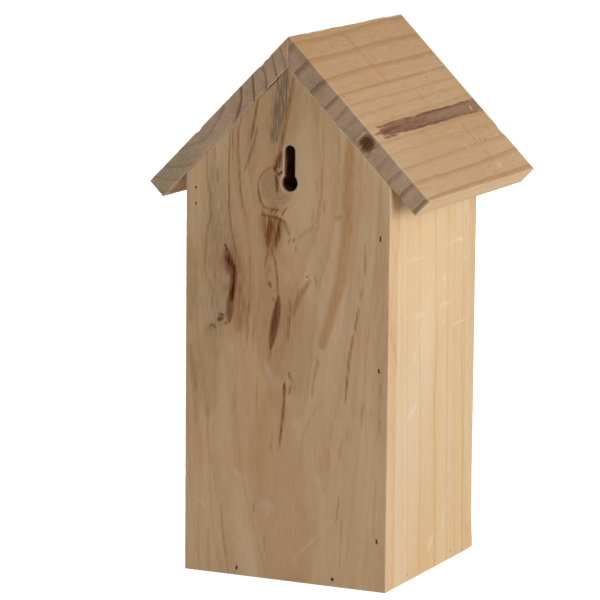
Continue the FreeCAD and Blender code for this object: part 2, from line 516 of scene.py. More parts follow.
def strokes(ink: Ink, *rows: tuple[float, ...], **shape: float) -> Marks:
    """Makes marks that differ only in their size and course.

    Args:
        ink: What marks the wood.
        rows: For each mark its width and strength, then a and b of each point of its course.
        shape: How all of them fade, taper and lie, by the names that a Mark has for it.

    Returns:
        The marks.
    """
    return tuple(Mark(ink, row[0], row[1], tuple(zip(row[2::2], row[3::2])), **shape) for row in rows)


def stains(points: Array, marks: Marks) -> dict[Ink, Array]:
    """Lays marks over each other: what one leaves bare, the next may hide.

    Args:
        points: Board coordinates, as places by three.
        marks: The marks.

    Returns:
        For each ink, how much of the wood it hides at each place.
    """
    bare = {mark.ink: np.ones(len(points)) for mark in marks}
    for mark in marks:
        near = mark.near(points)
        bare[mark.ink][near] *= 1 - mark.cover(points[near])
    return {ink: 1 - left for ink, left in bare.items()}


def frayed(ink: Ink, width: float, strength: float, course: Course, teeth: int, seed: int) -> Marks:
    """Makes a streak along the grain with frayed edges: a broad mark, and short thin ones along both edges.

    Args:
        ink: What marks the wood.
        width: The streak's width.
        strength: How much of the wood it hides.
        course: The points that it follows, as a and b, with b growing.
        teeth: How many short marks there are.
        seed: Which places and lengths are drawn.

    Returns:
        The marks.
    """
    draw, ends = np.random.default_rng(seed), np.array(course)
    b, half_long = draw.uniform(ends[0, 1], ends[-1, 1], teeth), draw.uniform(3, 11, teeth)
    aside = (width / 2 - draw.uniform(-0.15, 0.75, teeth)) * np.where(np.arange(teeth) % 2, 1, -1)
    a = np.interp(b, ends[:, 1], ends[:, 0]) + aside
    hairs = np.stack([np.stack([a, b - half_long], axis=-1), np.stack([a, b + half_long], axis=-1)], axis=1)
    return (
        Mark(ink, width - 1.1, strength, course, 0.12, 0.3),
        *(Mark(ink, 0.9, strength, tuple(map(tuple, hair)), 0.4, 0.8) for hair in hairs.tolist()),
    )


def flecks(ink: Ink, count: int, across: Pair, along: Pair, strength: float, seed: int) -> Marks:
    """Scatters short marks that run along the grain.

    Args:
        ink: What marks the wood.
        count: How many there are.
        across, along: Where their middles lie along a and b.
        strength: How much of the wood the strongest hides.
        seed: Which places, lengths and strengths are drawn.

    Returns:
        The marks.
    """
    draw = np.random.default_rng(seed)
    a, b = draw.uniform(*across, count), draw.uniform(*along, count)
    half_long, lean = draw.uniform(4, 20, count), draw.uniform(-0.03, 0.03, count)
    start = np.stack([a - lean * half_long, b - half_long], axis=-1)
    end = np.stack([a + lean * half_long, b + half_long], axis=-1)
    sizes = zip(draw.uniform(0.9, 1.6, count), draw.uniform(0.35, 1, count) * strength)
    return tuple(
        Mark(ink, width, hides, tuple(map(tuple, line)))
        for (width, hides), line in zip(sizes, np.stack([start, end], axis=1).tolist())
    )


@dataclass(frozen=True)
class PlanedPine:
    """Softwood board, planed and left bare.

    Planing leaves a dull surface with pale, wide spring wood and thin darker summer wood, fine fibres along
    the grain, short brown resin canals, end grain that has greyed, and edges that handling has rubbed pale.
    Fibres and canals are drawn about ten times as coarse as real ones, which would be too fine to show.

    Attributes:
        spring, warm, summer: Colours of spring wood, warmer patches and summer wood.
        end, end_ring, end_grey: Colours of end grain, its rings and its greyed patches.
        knot, knot_ring: Colours of a knot and its rings.
        canal, rub: Colours of resin canals and of rubbed edges.
        lines, end_lines: How strongly summer wood shows, and how strongly in end grain.
        sharp: The share of a ring where its summer wood begins.
        fibre, canals, rubbed: How strongly fibres, resin canals and rubbed edges show.
        marks: What is particular to this board.
    """

    spring: str = "#E4C8A2"
    warm: str = "#DDBB8F"
    summer: str = "#C29A70"
    end: str = "#CBAA8C"
    end_ring: str = "#7A583C"
    end_grey: str = "#B79A80"
    knot: str = "#C6A386"
    knot_ring: str = "#9C7250"
    canal: str = "#9C5E30"
    rub: str = "#EFDDC0"
    lines: float = 0.5
    end_lines: float = 0.8
    sharp: float = 0.55
    fibre: float = 0.25
    canals: float = 0.15
    rubbed: float = 0.32
    marks: Marks = ()

    def make(self, name: str, seat: Seat, inks: set[Ink]) -> bpy.types.Material:
        """Builds the material of one board.

        Args:
            name: The board that it is for.
            seat: The board's place, which gives the direction of its grain.
            inks: What marks the board.

        Returns:
            The material.
        """
        material = blank_material(f"planed_pine_{name}")
        tree = material.node_tree
        place = add_node(tree, "TexCoord", out="Object")
        board = add_node(tree, "Mapping", {"Vector": place, **seat.mapping()})
        parts = add_node(tree, "SeparateXYZ", {0: board}).node.outputs
        strand = add_node(tree, "Attribute", out="Fac", attribute_name="strand")
        fibres = add_node(tree, "CombineXYZ", {0: strand, 1: parts[1], 2: parts[2]})
        grain = {}
        for kind in Grain:
            across, along, detail, rough = kind.value
            start = board if kind is Grain.THREAD else fibres
            sizes = (1 / across, 1 / along, 1 / across)
            scaled = add_node(tree, "Mapping", {"Vector": start, "Scale": sizes})
            noise = {"Vector": scaled, "Scale": 1.0, "Detail": detail, "Roughness": rough}
            grain[kind] = add_node(tree, "TexNoise", noise)
        wood, line = self.wood(tree, grain)
        sawn = self.sawn(tree, place, seat, wood, line)
        marked = self.marked(tree, grain[Grain.THREAD], sawn, line, inks)
        fibre = grain[Grain.FIBRE]
        gloss = {"Value": fibre, "From Min": 0.25, "From Max": 0.75, "To Min": 0.72, "To Max": 0.55}
        look = {
            "Base Color": self.handled(tree, place, marked),
            "Roughness": add_node(tree, "MapRange", gloss),
            "Normal": add_node(tree, "Bump", {"Strength": 0.18, "Distance": 0.12 * MM, "Height": fibre}),
            "IOR": 1.5,
            "Specular IOR Level": 0.05,
        }
        add_node(tree, "OutputMaterial", {"Surface": add_node(tree, "BsdfPrincipled", look)})
        return material

    def wood(self, tree: Tree, grain: dict[Grain, Socket]) -> tuple[Socket, Socket]:
        """Adds the plain wood: rings from the growth attribute, warm patches, fibres and resin canals.

        Args:
            tree: The material's nodes.
            grain: The patterns that run with the grain.

        Returns:
            The wood's colour, and how dense its summer wood is.
        """
        growth, dense, tone = (
            add_node(tree, "Attribute", out="Fac", attribute_name=note)
            for note in ("growth", "dense", "tone")
        )
        share = add_node(tree, "Math", {0: growth}, operation="FRACT")
        rise, fall = (
            add_node(tree, "MapRange", {"Value": share, "From Min": start, "From Max": RING_PEAK}, **SMOOTH)
            for start in (self.sharp, 1.0)
        )
        band = add_node(tree, "Math", {0: rise, 1: fall}, **TIMES)
        line = add_node(tree, "Math", {0: band, 1: dense}, **TIMES)
        both = add_node(tree, "Math", {0: tone, 1: grain[Grain.STREAK]}, operation="ADD")
        warmth = add_node(tree, "MapRange", {"Value": both, "From Min": 0.55, "From Max": 1.45}, **SMOOTH)
        patch = add_node(tree, "Mix", {0: warmth, 6: linear(self.spring), 7: linear(self.warm)}, **RGBA)
        shown = add_node(tree, "Math", {0: line, 1: self.lines}, **TIMES)
        ringed = add_node(tree, "Mix", {0: shown, 6: patch, 7: linear(self.summer)}, **RGBA)
        rank = add_node(tree, "MapRange", {"Value": grain[Grain.FIBRE], "From Min": 0.25, "From Max": 0.75})
        # dark fibres are also browner
        dark, light = (tuple(1 + self.fibre * x for x in tint) + (1.0,) for tint in (DARK_FIBRE, LIGHT_FIBRE))
        shade = add_node(tree, "Mix", {0: rank, 6: dark, 7: light}, **RGBA)
        combed = add_node(tree, "Mix", {0: 1.0, 6: ringed, 7: shade}, **TINT)
        spots = {0: grain[Grain.DRIFT], 1: 0.35, 2: grain[Grain.CANAL]}
        crowd = add_node(tree, "Math", spots, operation="MULTIPLY_ADD")
        dark_spots = {"Value": crowd, "From Min": 0.8, "From Max": 0.92, "To Max": self.canals}
        canal = add_node(tree, "MapRange", dark_spots, **SMOOTH)
        return add_node(tree, "Mix", {0: canal, 6: combed, 7: linear(self.canal)}, **RGBA), line

    def sawn(self, tree: Tree, place: Socket, seat: Seat, wood: Socket, line: Socket) -> Socket:
        """Adds end grain where the surface faces along the board: rings, greyed patches and open pores.

        Args:
            tree: The material's nodes.
            place: Object coordinates.
            seat: The board's place.
            wood: The plain wood's colour.
            line: How dense the summer wood is.

        Returns:
            The colour with end grain.
        """
        normal = place.node.outputs["Normal"]
        facing = add_node(tree, "VectorMath", {0: normal, 1: seat.along}, "Value", operation="DOT_PRODUCT")
        square = add_node(tree, "Math", {0: facing}, operation="ABSOLUTE")
        across = add_node(tree, "MapRange", {"Value": square, "From Min": 0.6, "From Max": 0.85}, **SMOOTH)
        blotches = {"Vector": place, "Scale": 1 / (11 * MM), "Detail": 3.0, "Roughness": 0.6}
        specks = {"Vector": place, "Scale": 1 / (1.1 * MM), "Detail": 2.0, "Roughness": 0.7}
        cloud, pores = (add_node(tree, "TexNoise", noise) for noise in (blotches, specks))
        aged = add_node(tree, "MapRange", {"Value": cloud, "From Min": 0.35, "From Max": 0.7}, **SMOOTH)
        grey = add_node(tree, "Mix", {0: aged, 6: linear(self.end), 7: linear(self.end_grey)}, **RGBA)
        shown = add_node(tree, "Math", {0: line, 1: self.end_lines}, **TIMES)
        ringed = add_node(tree, "Mix", {0: shown, 6: grey, 7: linear(self.end_ring)}, **RGBA)
        pits = {"Value": pores, "From Min": 0.3, "From Max": 0.7, "To Min": 0.8, "To Max": 1.2}
        porous = add_node(tree, "Mix", {0: 1.0, 6: ringed, 7: add_node(tree, "MapRange", pits)}, **TINT)
        return add_node(tree, "Mix", {0: across, 6: wood, 7: porous}, **RGBA)

    def marked(self, tree: Tree, thread: Socket, wood: Socket, line: Socket, inks: set[Ink]) -> Socket:
        """Adds knots and this board's own marks, from the deepest to the last scratch.

        A mark's cover comes from the mesh, and fibres that took more or less of it break up its edge.

        Args:
            tree: The material's nodes.
            thread: How much each fibre took.
            wood: The colour of the wood and its end grain.
            line: How dense the summer wood is, also in a knot.
            inks: What marks the board.

        Returns:
            The colour with the knots and marks.
        """
        knot = add_node(tree, "Attribute", out="Fac", attribute_name="knot")
        near = {"Value": knot, "From Min": 1.1, "From Max": 0.75, "To Max": 0.7}
        heart = add_node(tree, "MapRange", near, **SMOOTH)
        inner = add_node(tree, "Math", {0: heart, 1: line}, **TIMES)
        ring = add_node(tree, "Math", {0: inner, 1: KNOT_RINGS}, **TIMES)
        body = add_node(tree, "Mix", {0: heart, 6: wood, 7: linear(self.knot)}, **RGBA)
        colour = add_node(tree, "Mix", {0: ring, 6: body, 7: linear(self.knot_ring)}, **RGBA)
        taken = add_node(tree, "MapRange", {"Value": thread, "From Min": 0.3, "From Max": 0.7})
        for ink in (layer for layer in Ink if layer in inks):
            stain = add_node(tree, "Attribute", out="Fac", attribute_name=ink.note)
            torn = {0: taken, 1: -2 * ink.ragged, 2: 1 + ink.ragged}
            share = add_node(tree, "Math", torn, operation="MULTIPLY_ADD")
            cover = add_node(tree, "Math", {0: share, 1: stain}, use_clamp=True, **TIMES)
            colour = add_node(tree, "Mix", {0: cover, 6: colour, 7: linear(ink.colour)}, **RGBA)
        return colour

    def handled(self, tree: Tree, place: Socket, marked: Socket) -> Socket:
        """Adds edges that handling has rubbed pale, more in some places than in others.

        Args:
            tree: The material's nodes.
            place: Object coordinates.
            marked: The marked wood's colour.

        Returns:
            The finished colour.
        """
        edge = add_node(tree, "Attribute", out="Fac", attribute_name="wear")
        blotches = {"Vector": place, "Scale": 1 / (19 * MM), "Detail": 3.0, "Roughness": 0.6}
        where = add_node(tree, "Math", {0: edge, 1: add_node(tree, "TexNoise", blotches)}, **TIMES)
        worn = {"Value": where, "From Min": 0.2, "From Max": 0.7, "To Max": self.rubbed}
        pale = add_node(tree, "MapRange", worn, **SMOOTH)
        return add_node(tree, "Mix", {0: pale, 6: marked, 7: linear(self.rub)}, **RGBA)


@dataclass(frozen=True)
class Hole:
    """A hole through or into a board's shown face: a superellipse carried inwards, with an eased mouth.

    Attributes:
        a, b: Its centre.
        half_a, half_b: Its half width and half height.
        depth: How deep it goes.
        power: 2 for a round hole, more for a squarer one.
        flare: The radius of its mouth.
        turn: How far it is turned.
        through: Whether it comes out at the other face.
        straight: Half the length of its straight sides along b.
        dark: How much shade is painted on its walls inside.
    """

    a: float
    b: float
    half_a: float
    half_b: float
    depth: float
    power: float = 2.0
    flare: float = 0.4
    turn: float = 0.0
    through: bool = False
    straight: float = 0.0
    dark: float = 0.85

    def lining(self) -> Marks:
        """Paints shade on the walls below the mouth, and leaves a pale rim round a through hole's mouth, or
        torn fibres beside a socket.

        Returns:
            The marks.
        """
        tall = self.half_b + self.straight - self.half_a + 0.01
        line = ((self.a, self.b - tall), (self.a, self.b + tall))
        if self.through:
            top, base = self.flare + 0.8, self.depth + 1.0
            middle, reach = (base + top) / 2, (base - top) / 2
            rim = 2 * (self.half_a + self.flare) + 0.5
            # painted shade on the bore's walls, and a pale rim round its mouth
            return (
                Mark(Ink.BARK, 6 * self.half_a, self.dark, line, 0.4, 0.0, -middle, reach),
                Mark(Ink.PALE, rim, 0.5, line, 0.15, 0.0, 0.0, 1.0),
            )
        side = self.a - self.half_a - 0.4
        torn = ((side, self.b - 0.7), (side, self.b + 0.7))
        wide, deep = 2 * self.half_a + 1, self.depth
        # painted shade in the socket, and torn fibres beside it
        return (
            Mark(Ink.BARK, wide, self.dark, line, 0.3, 0.0, -0.75 * deep, 0.85 * deep),
            Mark(Ink.SCUFF, 0.8, 0.3, torn, 0.8, 0.0, 0.0, 0.5),
        )

    def cutter(self, seat: Seat) -> Piece:
        """Makes the closed volume that the hole takes out of its board.

        Round the hole goes x = half_a * |cos|^(2/power) and y = half_b * |sin|^(2/power), drawn apart by the
        straight sides. Along it, the mouth widens by flare - sqrt(flare^2 - (c + flare)^2) over its last
        flare millimetres.

        Args:
            seat: The board's place.

        Returns:
            The cutting object.
        """
        angle = np.linspace(0, 2 * math.pi, 48, endpoint=False)
        cosine, sine = np.cos(angle), np.sin(angle)
        ring = np.stack([np.sign(x) * np.abs(x) ** (2 / self.power) for x in (cosine, sine)], axis=-1)
        bend = np.linspace(0, 1, 6) * self.flare
        mouth = self.flare - np.sqrt(np.maximum(self.flare**2 - bend**2, 0))
        wall = np.linspace(self.flare, self.depth - (self.flare if self.through else 0.0), 10)[1:-1]
        c = np.concatenate([[1.0, 1.0, 0.0], (bend - self.flare)[::-1][1:], -wall])
        grow = np.concatenate([[self.flare] * 3, mouth[::-1][1:], np.zeros(wall.size)])
        tail = 3 + bend.size - 1 if self.through else 0
        c = np.concatenate([c, -self.depth - c[:tail][::-1] if self.through else [-self.depth, -self.depth]])
        grow = np.concatenate([grow, grow[:tail][::-1] if self.through else [0.0, 0.0]])
        size = np.array([self.half_a, self.half_b])[None, None] + grow[:, None, None]
        flat = ring[None] * size
        flat[..., 1] += np.sign(np.round(sine, 9)) * self.straight
        flat[[0, -1]] = 0
        lean = math.radians(self.turn)
        x = self.a + flat[..., 0] * math.cos(lean) - flat[..., 1] * math.sin(lean)
        y = self.b + flat[..., 0] * math.sin(lean) + flat[..., 1] * math.cos(lean)
        deep = np.broadcast_to(c[:, None], x.shape)
        return skin("bore", seat.place(np.stack([x, y, deep], axis=-1)))


@dataclass(frozen=True)
class Dent:
    """A knock in a board: places within a radius move by a push that fades as a bell curve."""

    at: Triple
    push: Triple
    radius: Triple

    def move(self, points: Array) -> Array:
        """How far each place moves: push times exp(-distance^2), with distance measured in radii."""
        far = ((points - np.array(self.at)) / np.array(self.radius)) ** 2
        return np.exp(-far.sum(axis=-1))[..., None] * np.array(self.push)


@dataclass
class Board:
    """A sawn board with eased edges: a flat loop carried along the grain between a foot and a head.

    Attributes:
        node: The CAD node that it stands for.
        body: What it rides on.
        seat: Where it lies.
        span: Its lowest and highest a.
        length: Its lowest and highest b.
        thickness: Its thickness.
        timber: How it was sawn.
        finish: How it looks.
        ease: The radius of its edges.
        uneven: How far its edges stray.
        holes: What was bored or driven into it.
        dents: Where it was knocked.
        fine_across: Where along a its grid is finer.
        fine_along: Where along b its grid is finer, as shares of its length.
    """

    node: str
    body: Body
    seat: Seat
    span: Pair
    length: Pair
    thickness: float
    timber: Timber
    finish: PlanedPine
    ease: float = 0.5
    uneven: float = 0.09
    holes: tuple[Hole, ...] = ()
    dents: tuple[Dent, ...] = ()
    fine_across: Pair = (0.0, 0.0)
    fine_along: Pair = (0.0, 0.0)

    def foot(self, a: Array, c: Array) -> Array:
        """The lowest b at each place of the loop."""
        return np.full(np.broadcast(a, c).shape, self.length[0])

    def head(self, a: Array, c: Array) -> Array:
        """The highest b at each place of the loop."""
        return np.full(np.broadcast(a, c).shape, self.length[1])

    def mitre(self, a: Array, c: Array) -> Array:
        """How far each place of the loop is shifted across."""
        return np.zeros(np.broadcast(a, c).shape)

    def loop(self) -> tuple[Array, Array]:
        """Goes once round the board's cross-section.

        Half of it climbs one edge, rounds its corner, crosses the shown face and comes down the other edge to
        the middle of the thickness. The other half is the same, below the middle.

        Returns:
            The places across and the heights over the middle.
        """
        low, high = self.span
        half, ease = self.thickness / 2, self.ease
        turn = np.linspace(0, math.pi / 2, 5)
        rise = np.linspace(0, half - ease, 6)
        edge = np.arange(1, 4) * ACROSS_GRID
        inset = ease + 4 * ACROSS_GRID
        face = graded(low + inset, high - inset, ACROSS_GRID, FINE_ACROSS, self.fine_across)
        corner = low + ease * (1 - np.cos(turn[1:]))
        across = np.concatenate([np.full(rise.size, low), corner, low + ease + edge, face])
        climb = half - ease + ease * np.sin(turn[1:])
        above = np.concatenate([rise, climb, np.full(edge.size + face.size, half)])
        across = np.concatenate([across, (low + high - across[: -face.size])[::-1]])
        above = np.concatenate([above, above[: -face.size][::-1]])
        return np.concatenate([across, across[-2:0:-1]]), np.concatenate([above, -above[-2:0:-1]])

    def surface(self) -> Array:
        """Carries the loop from foot to head.

        At each end the loop is first a line in the middle of the end face, then spreads to the edge, rounds
        it, and runs along the board: b is the mean of foot and head, weighted by the share of the way.

        Returns:
            Board coordinates, as rows by places round the loop by three.
        """
        across, above = self.loop()
        half, ease = self.thickness / 2, self.ease
        turn = np.linspace(0, math.pi / 2, 5)
        end_inset = np.concatenate([np.linspace(half, ease + 0.4, 5), ease * (1 - np.sin(turn))])
        end_lift = np.concatenate([np.zeros(5), ease * (1 - np.cos(turn))])
        long = self.length[1] - self.length[0]
        middle = graded(0.0, 1.0, ALONG_GRID / long, FINE_ALONG / long, self.fine_along)
        inset = np.concatenate([end_inset, np.zeros(middle.size), end_inset[::-1]])[:, None]
        share = np.concatenate([np.zeros(end_inset.size), middle, np.ones(end_inset.size)])[:, None]
        near = ease + 0.5
        lift = np.concatenate([end_lift, near * (1 - 2 * middle), -end_lift[::-1]])[:, None]
        centre, reach = sum(self.span) / 2, (self.span[1] - self.span[0]) / 2
        a = centre + (across - centre) * (1 - inset / reach)
        c = above * (1 - inset / half) - half
        a = a + self.mitre(a, c)
        b = self.foot(a, c) * (1 - share) + self.head(a, c) * share + lift
        return np.stack([a, b, c], axis=-1)

    def edge_gap(self, points: Array) -> Array:
        """Distance from the nearest edge: the second smallest of the distances to sides, ends and faces."""
        a, b, c = np.moveaxis(points, -1, 0)
        shift = self.mitre(np.full(a.shape, self.span[0]), c)
        gaps = [
            np.minimum(a - self.span[0] - shift, self.span[1] - a),
            np.minimum(b - self.foot(a, c), self.head(a, c) - b),
            np.minimum(-c, c + self.thickness),
        ]
        return np.sort(np.abs(np.stack(gaps)), axis=0)[1]

    def worn(self, points: Array) -> Array:
        """Lets the edges stray and adds the dents.

        Args:
            points: Board coordinates of a true board.

        Returns:
            Board coordinates of the used one.
        """
        near = np.exp(-((self.edge_gap(points) / (STRAY_WIDTH * self.ease)) ** 2))
        middle = np.array([sum(self.span) / 2, sum(self.length) / 2, -self.thickness / 2])
        inward = np.sign(middle - points) * np.array([1.0, 0.6, 1.0])
        short = np.clip(waves(points, (9, 9, 9), self.timber.seed + 30), 0, 1)
        long = np.clip(waves(points, (31, 31, 31), self.timber.seed + 31), 0, 1)
        stray = short + 0.5 * long
        moved = points + inward * (near * stray * self.uneven)[..., None]
        for dent in self.dents:
            moved = moved + dent.move(points)
        return moved

    def marks(self) -> Marks:
        """What marks the board, and the painted shade and rims of its holes."""
        return self.finish.marks + tuple(mark for hole in self.holes for mark in hole.lining())

    def build(self) -> Piece:
        """Makes the board, bores its holes and notes growth, fibres, knots, tone, wear and marks on its mesh.

        Returns:
            The board.
        """
        piece = skin(f"{self.node}_planed", self.seat.place(self.worn(self.surface())))
        for hole in self.holes:
            cut(piece, hole.cutter(self.seat))
        mesh = piece.data
        points = self.seat.vertices(piece)
        growth = self.timber.growth(points)
        notes = {
            "growth": growth,
            "dense": self.timber.density(growth),
            "strand": self.timber.strand(points),
            "knot": self.timber.knot(points),
            "tone": self.timber.tone(points),
            "wear": np.exp(-((self.edge_gap(points) / WEAR_WIDTH) ** 2)),
        }
        notes |= {ink.note: cover for ink, cover in stains(points, self.marks()).items()}
        for name, values in notes.items():
            mesh.attributes.new(name, "FLOAT", "POINT").data.foreach_set("value", values.astype(np.float32))
        mesh.shade_smooth()
        mesh.set_sharp_from_angle(angle=math.radians(SMOOTH_BELOW))
        return piece

    def dress(self, piece: Piece) -> None:
        """Gives the board its finish and its body, and hides the CAD node that it stands for."""
        inks = {mark.ink for mark in self.marks()}
        piece.data.materials.clear()
        piece.data.materials.append(self.finish.make(self.node, self.seat, inks))
        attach(piece, self.body.value)
        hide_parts(self.node)


@dataclass
class GablePanel(Board):
    """A front or back panel, whose head follows the roof's two slopes."""

    def head(self, a: Array, c: Array) -> Array:
        """The slope's height: the ridge less the distance from the middle, times the pitch."""
        return self.length[1] - np.abs(a) * math.tan(PITCH) + 0 * c


@dataclass
class SideBoard(Board):
    """A side panel or the door, whose head is bevelled under the roof: it climbs inwards with the pitch."""

    def head(self, a: Array, c: Array) -> Array:
        """The bevel's height: highest at the inner face."""
        return self.length[1] - (c + self.thickness) * math.tan(PITCH) + 0 * a


@dataclass
class RoofBoard(Board):
    """A roof board, mitred at the ridge: the ridge end is shifted down the slope with depth."""

    def mitre(self, a: Array, c: Array) -> Array:
        """The mitre's shift, which fades to nothing at the eave."""
        return -c * (self.span[1] - a) / (self.span[1] - self.span[0]) * math.tan(PITCH)


@dataclass
class FloorBoard(Board):
    """The floor, with its corners cropped so that rain can drain."""

    crop: float = 12.0

    def cropped(self, a: Array) -> Array:
        """How much shorter the board is at each place across it."""
        centre, reach = sum(self.span) / 2, (self.span[1] - self.span[0]) / 2
        return np.maximum(0, np.abs(a - centre) - (reach - self.crop))

    def foot(self, a: Array, c: Array) -> Array:
        """The near end, with its corners cropped."""
        return self.length[0] + self.cropped(a) + 0 * c

    def head(self, a: Array, c: Array) -> Array:
        """The far end, with its corners cropped."""
        return self.length[1] - self.cropped(a) + 0 * c


@dataclass(frozen=True)
class DullSteel:
    """Drawn steel wire, dulled by the air: two greys in blotches, which also set its gloss and its relief.

    Attributes:
        name: What the material is called.
        light, dark: Its two greys.
        rough: How rough it is where it is light, and where it is dark.
        blotch: The size of a blotch.
    """

    name: str
    light: str
    dark: str
    rough: Pair
    blotch: float = 1.6

    def make(self) -> bpy.types.Material:
        """Builds the metal.

        Returns:
            The material.
        """
        material = blank_material(self.name)
        tree = material.node_tree
        place = add_node(tree, "TexCoord", out="Object")
        blotches = {"Vector": place, "Scale": 1 / (self.blotch * MM), "Detail": 4.0, "Roughness": 0.65}
        cloud = add_node(tree, "TexNoise", blotches)
        share = add_node(tree, "MapRange", {"Value": cloud, "From Min": 0.35, "From Max": 0.65}, **SMOOTH)
        gloss = {"Value": share, "To Min": self.rough[1], "To Max": self.rough[0]}
        colour = add_node(tree, "Mix", {0: share, 6: linear(self.dark), 7: linear(self.light)}, **RGBA)
        look = {
            "Base Color": colour,
            "Metallic": 1.0,
            "Roughness": add_node(tree, "MapRange", gloss),
            "Normal": add_node(tree, "Bump", {"Strength": 0.3, "Distance": 0.05 * MM, "Height": cloud}),
        }
        add_node(tree, "OutputMaterial", {"Surface": add_node(tree, "BsdfPrincipled", look)})
        return material


@dataclass
class Fastenings:
    """The brads and pivot nails, which stay the CAD solids and get their metal."""

    finish: DullSteel = DullSteel("drawn_brad_steel", "#6E6861", "#38322D", (0.45, 0.7))

    def dress(self) -> list[str]:
        """Gives every brad and nail its steel.

        Returns:
            The names of the nodes.
        """
        steel = self.finish.make()
        names = sorted(n for n in frame["nodes"] if "brads" in n or "pivot_nail" in n)
        for name in names:
            materials = frame["nodes"][name].data.materials
            materials.clear()
            materials.append(steel)
        return names


@dataclass
class LatchHook:
    """A bent wire that turns over the door's edge: a round section along a shank, a bend and an arm."""

    node: str = "latch_hook"
    bend: float = 2.0
    finish: DullSteel = DullSteel("zinc_plated_wire", "#C9C8C4", "#9A9894", (0.25, 0.45), 2.4)

    def build(self) -> Piece:
        """Makes the hook: rings square to its path, drawn in to round ends.

        Returns:
            The hook.
        """
        low, high = node_box(self.node)
        wire = (high[1] - low[1]) / 2
        arm_x, shank_z, y = high[0] - wire, high[2] - wire, (low[1] + high[1]) / 2
        turn = np.linspace(0, math.pi / 2, 17)
        bent_x = arm_x - self.bend + self.bend * np.sin(turn)
        bent_z = shank_z - self.bend + self.bend * np.cos(turn)
        arm_top, arm_tip = shank_z - self.bend, low[2] + wire
        straight = np.linspace(low[0] + wire, arm_x - self.bend, 20)[:-1]
        hang = np.linspace(arm_top, arm_tip, 16)[1:]
        path_x = np.concatenate([straight, bent_x, np.full(hang.size, arm_x)])
        path_z = np.concatenate([np.full(straight.size, shank_z), bent_z, hang])
        lean = np.concatenate([np.zeros(straight.size), turn, np.full(hang.size, math.pi / 2)])
        dome = np.linspace(0, math.pi / 2, 7)[:-1]
        tip, back = wire * np.sin(dome), wire * np.cos(dome)
        radius = np.concatenate([tip, np.full(path_x.size, wire), tip[::-1]])
        path_x = np.concatenate([path_x[0] - back, path_x, np.full(dome.size, arm_x)])
        path_z = np.concatenate([np.full(dome.size, shank_z), path_z, path_z[-1] - back[::-1]])
        lean = np.concatenate([np.zeros(dome.size), lean, np.full(dome.size, math.pi / 2)])
        angle = np.linspace(0, 2 * math.pi, 28, endpoint=False)
        side, over = np.cos(angle), np.sin(angle)
        x = path_x[:, None] + radius[:, None] * over * np.sin(lean)[:, None]
        z = path_z[:, None] + radius[:, None] * over * np.cos(lean)[:, None]
        rows = np.stack([x, y + radius[:, None] * side, z], axis=-1)
        piece = skin(f"{self.node}_wire", rows * MM)
        piece.data.shade_smooth()
        return piece

    def dress(self, piece: Piece) -> None:
        """Gives the hook its zinc and its body, and hides the CAD node that it stands for."""
        piece.data.materials.append(self.finish.make())
        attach(piece, Body.LATCH.value)
        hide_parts(self.node)


def head_places(node: str, seat: Seat) -> list[Pair]:
    """Finds the heads of a node's brads or nail on a board.

    The places of the mesh that stick out furthest along c are the heads' tops. Those near the first one
    left are one head.

    Args:
        node: The CAD node.
        seat: The board that they were driven into.

    Returns:
        The middle of each head, as a and b, in order.
    """
    points = seat.vertices(frame["nodes"][node])
    top = points[points[:, 2] > points[:, 2].max() - HEAD_FLAT][:, :2]
    found = []
    while len(top):
        near = np.linalg.norm(top - top[0], axis=1) < HEAD_SPAN
        found.append(tuple(float(x) for x in (top[near].max(axis=0) + top[near].min(axis=0)) / 2))
        top = top[~near]
    return sorted(found)


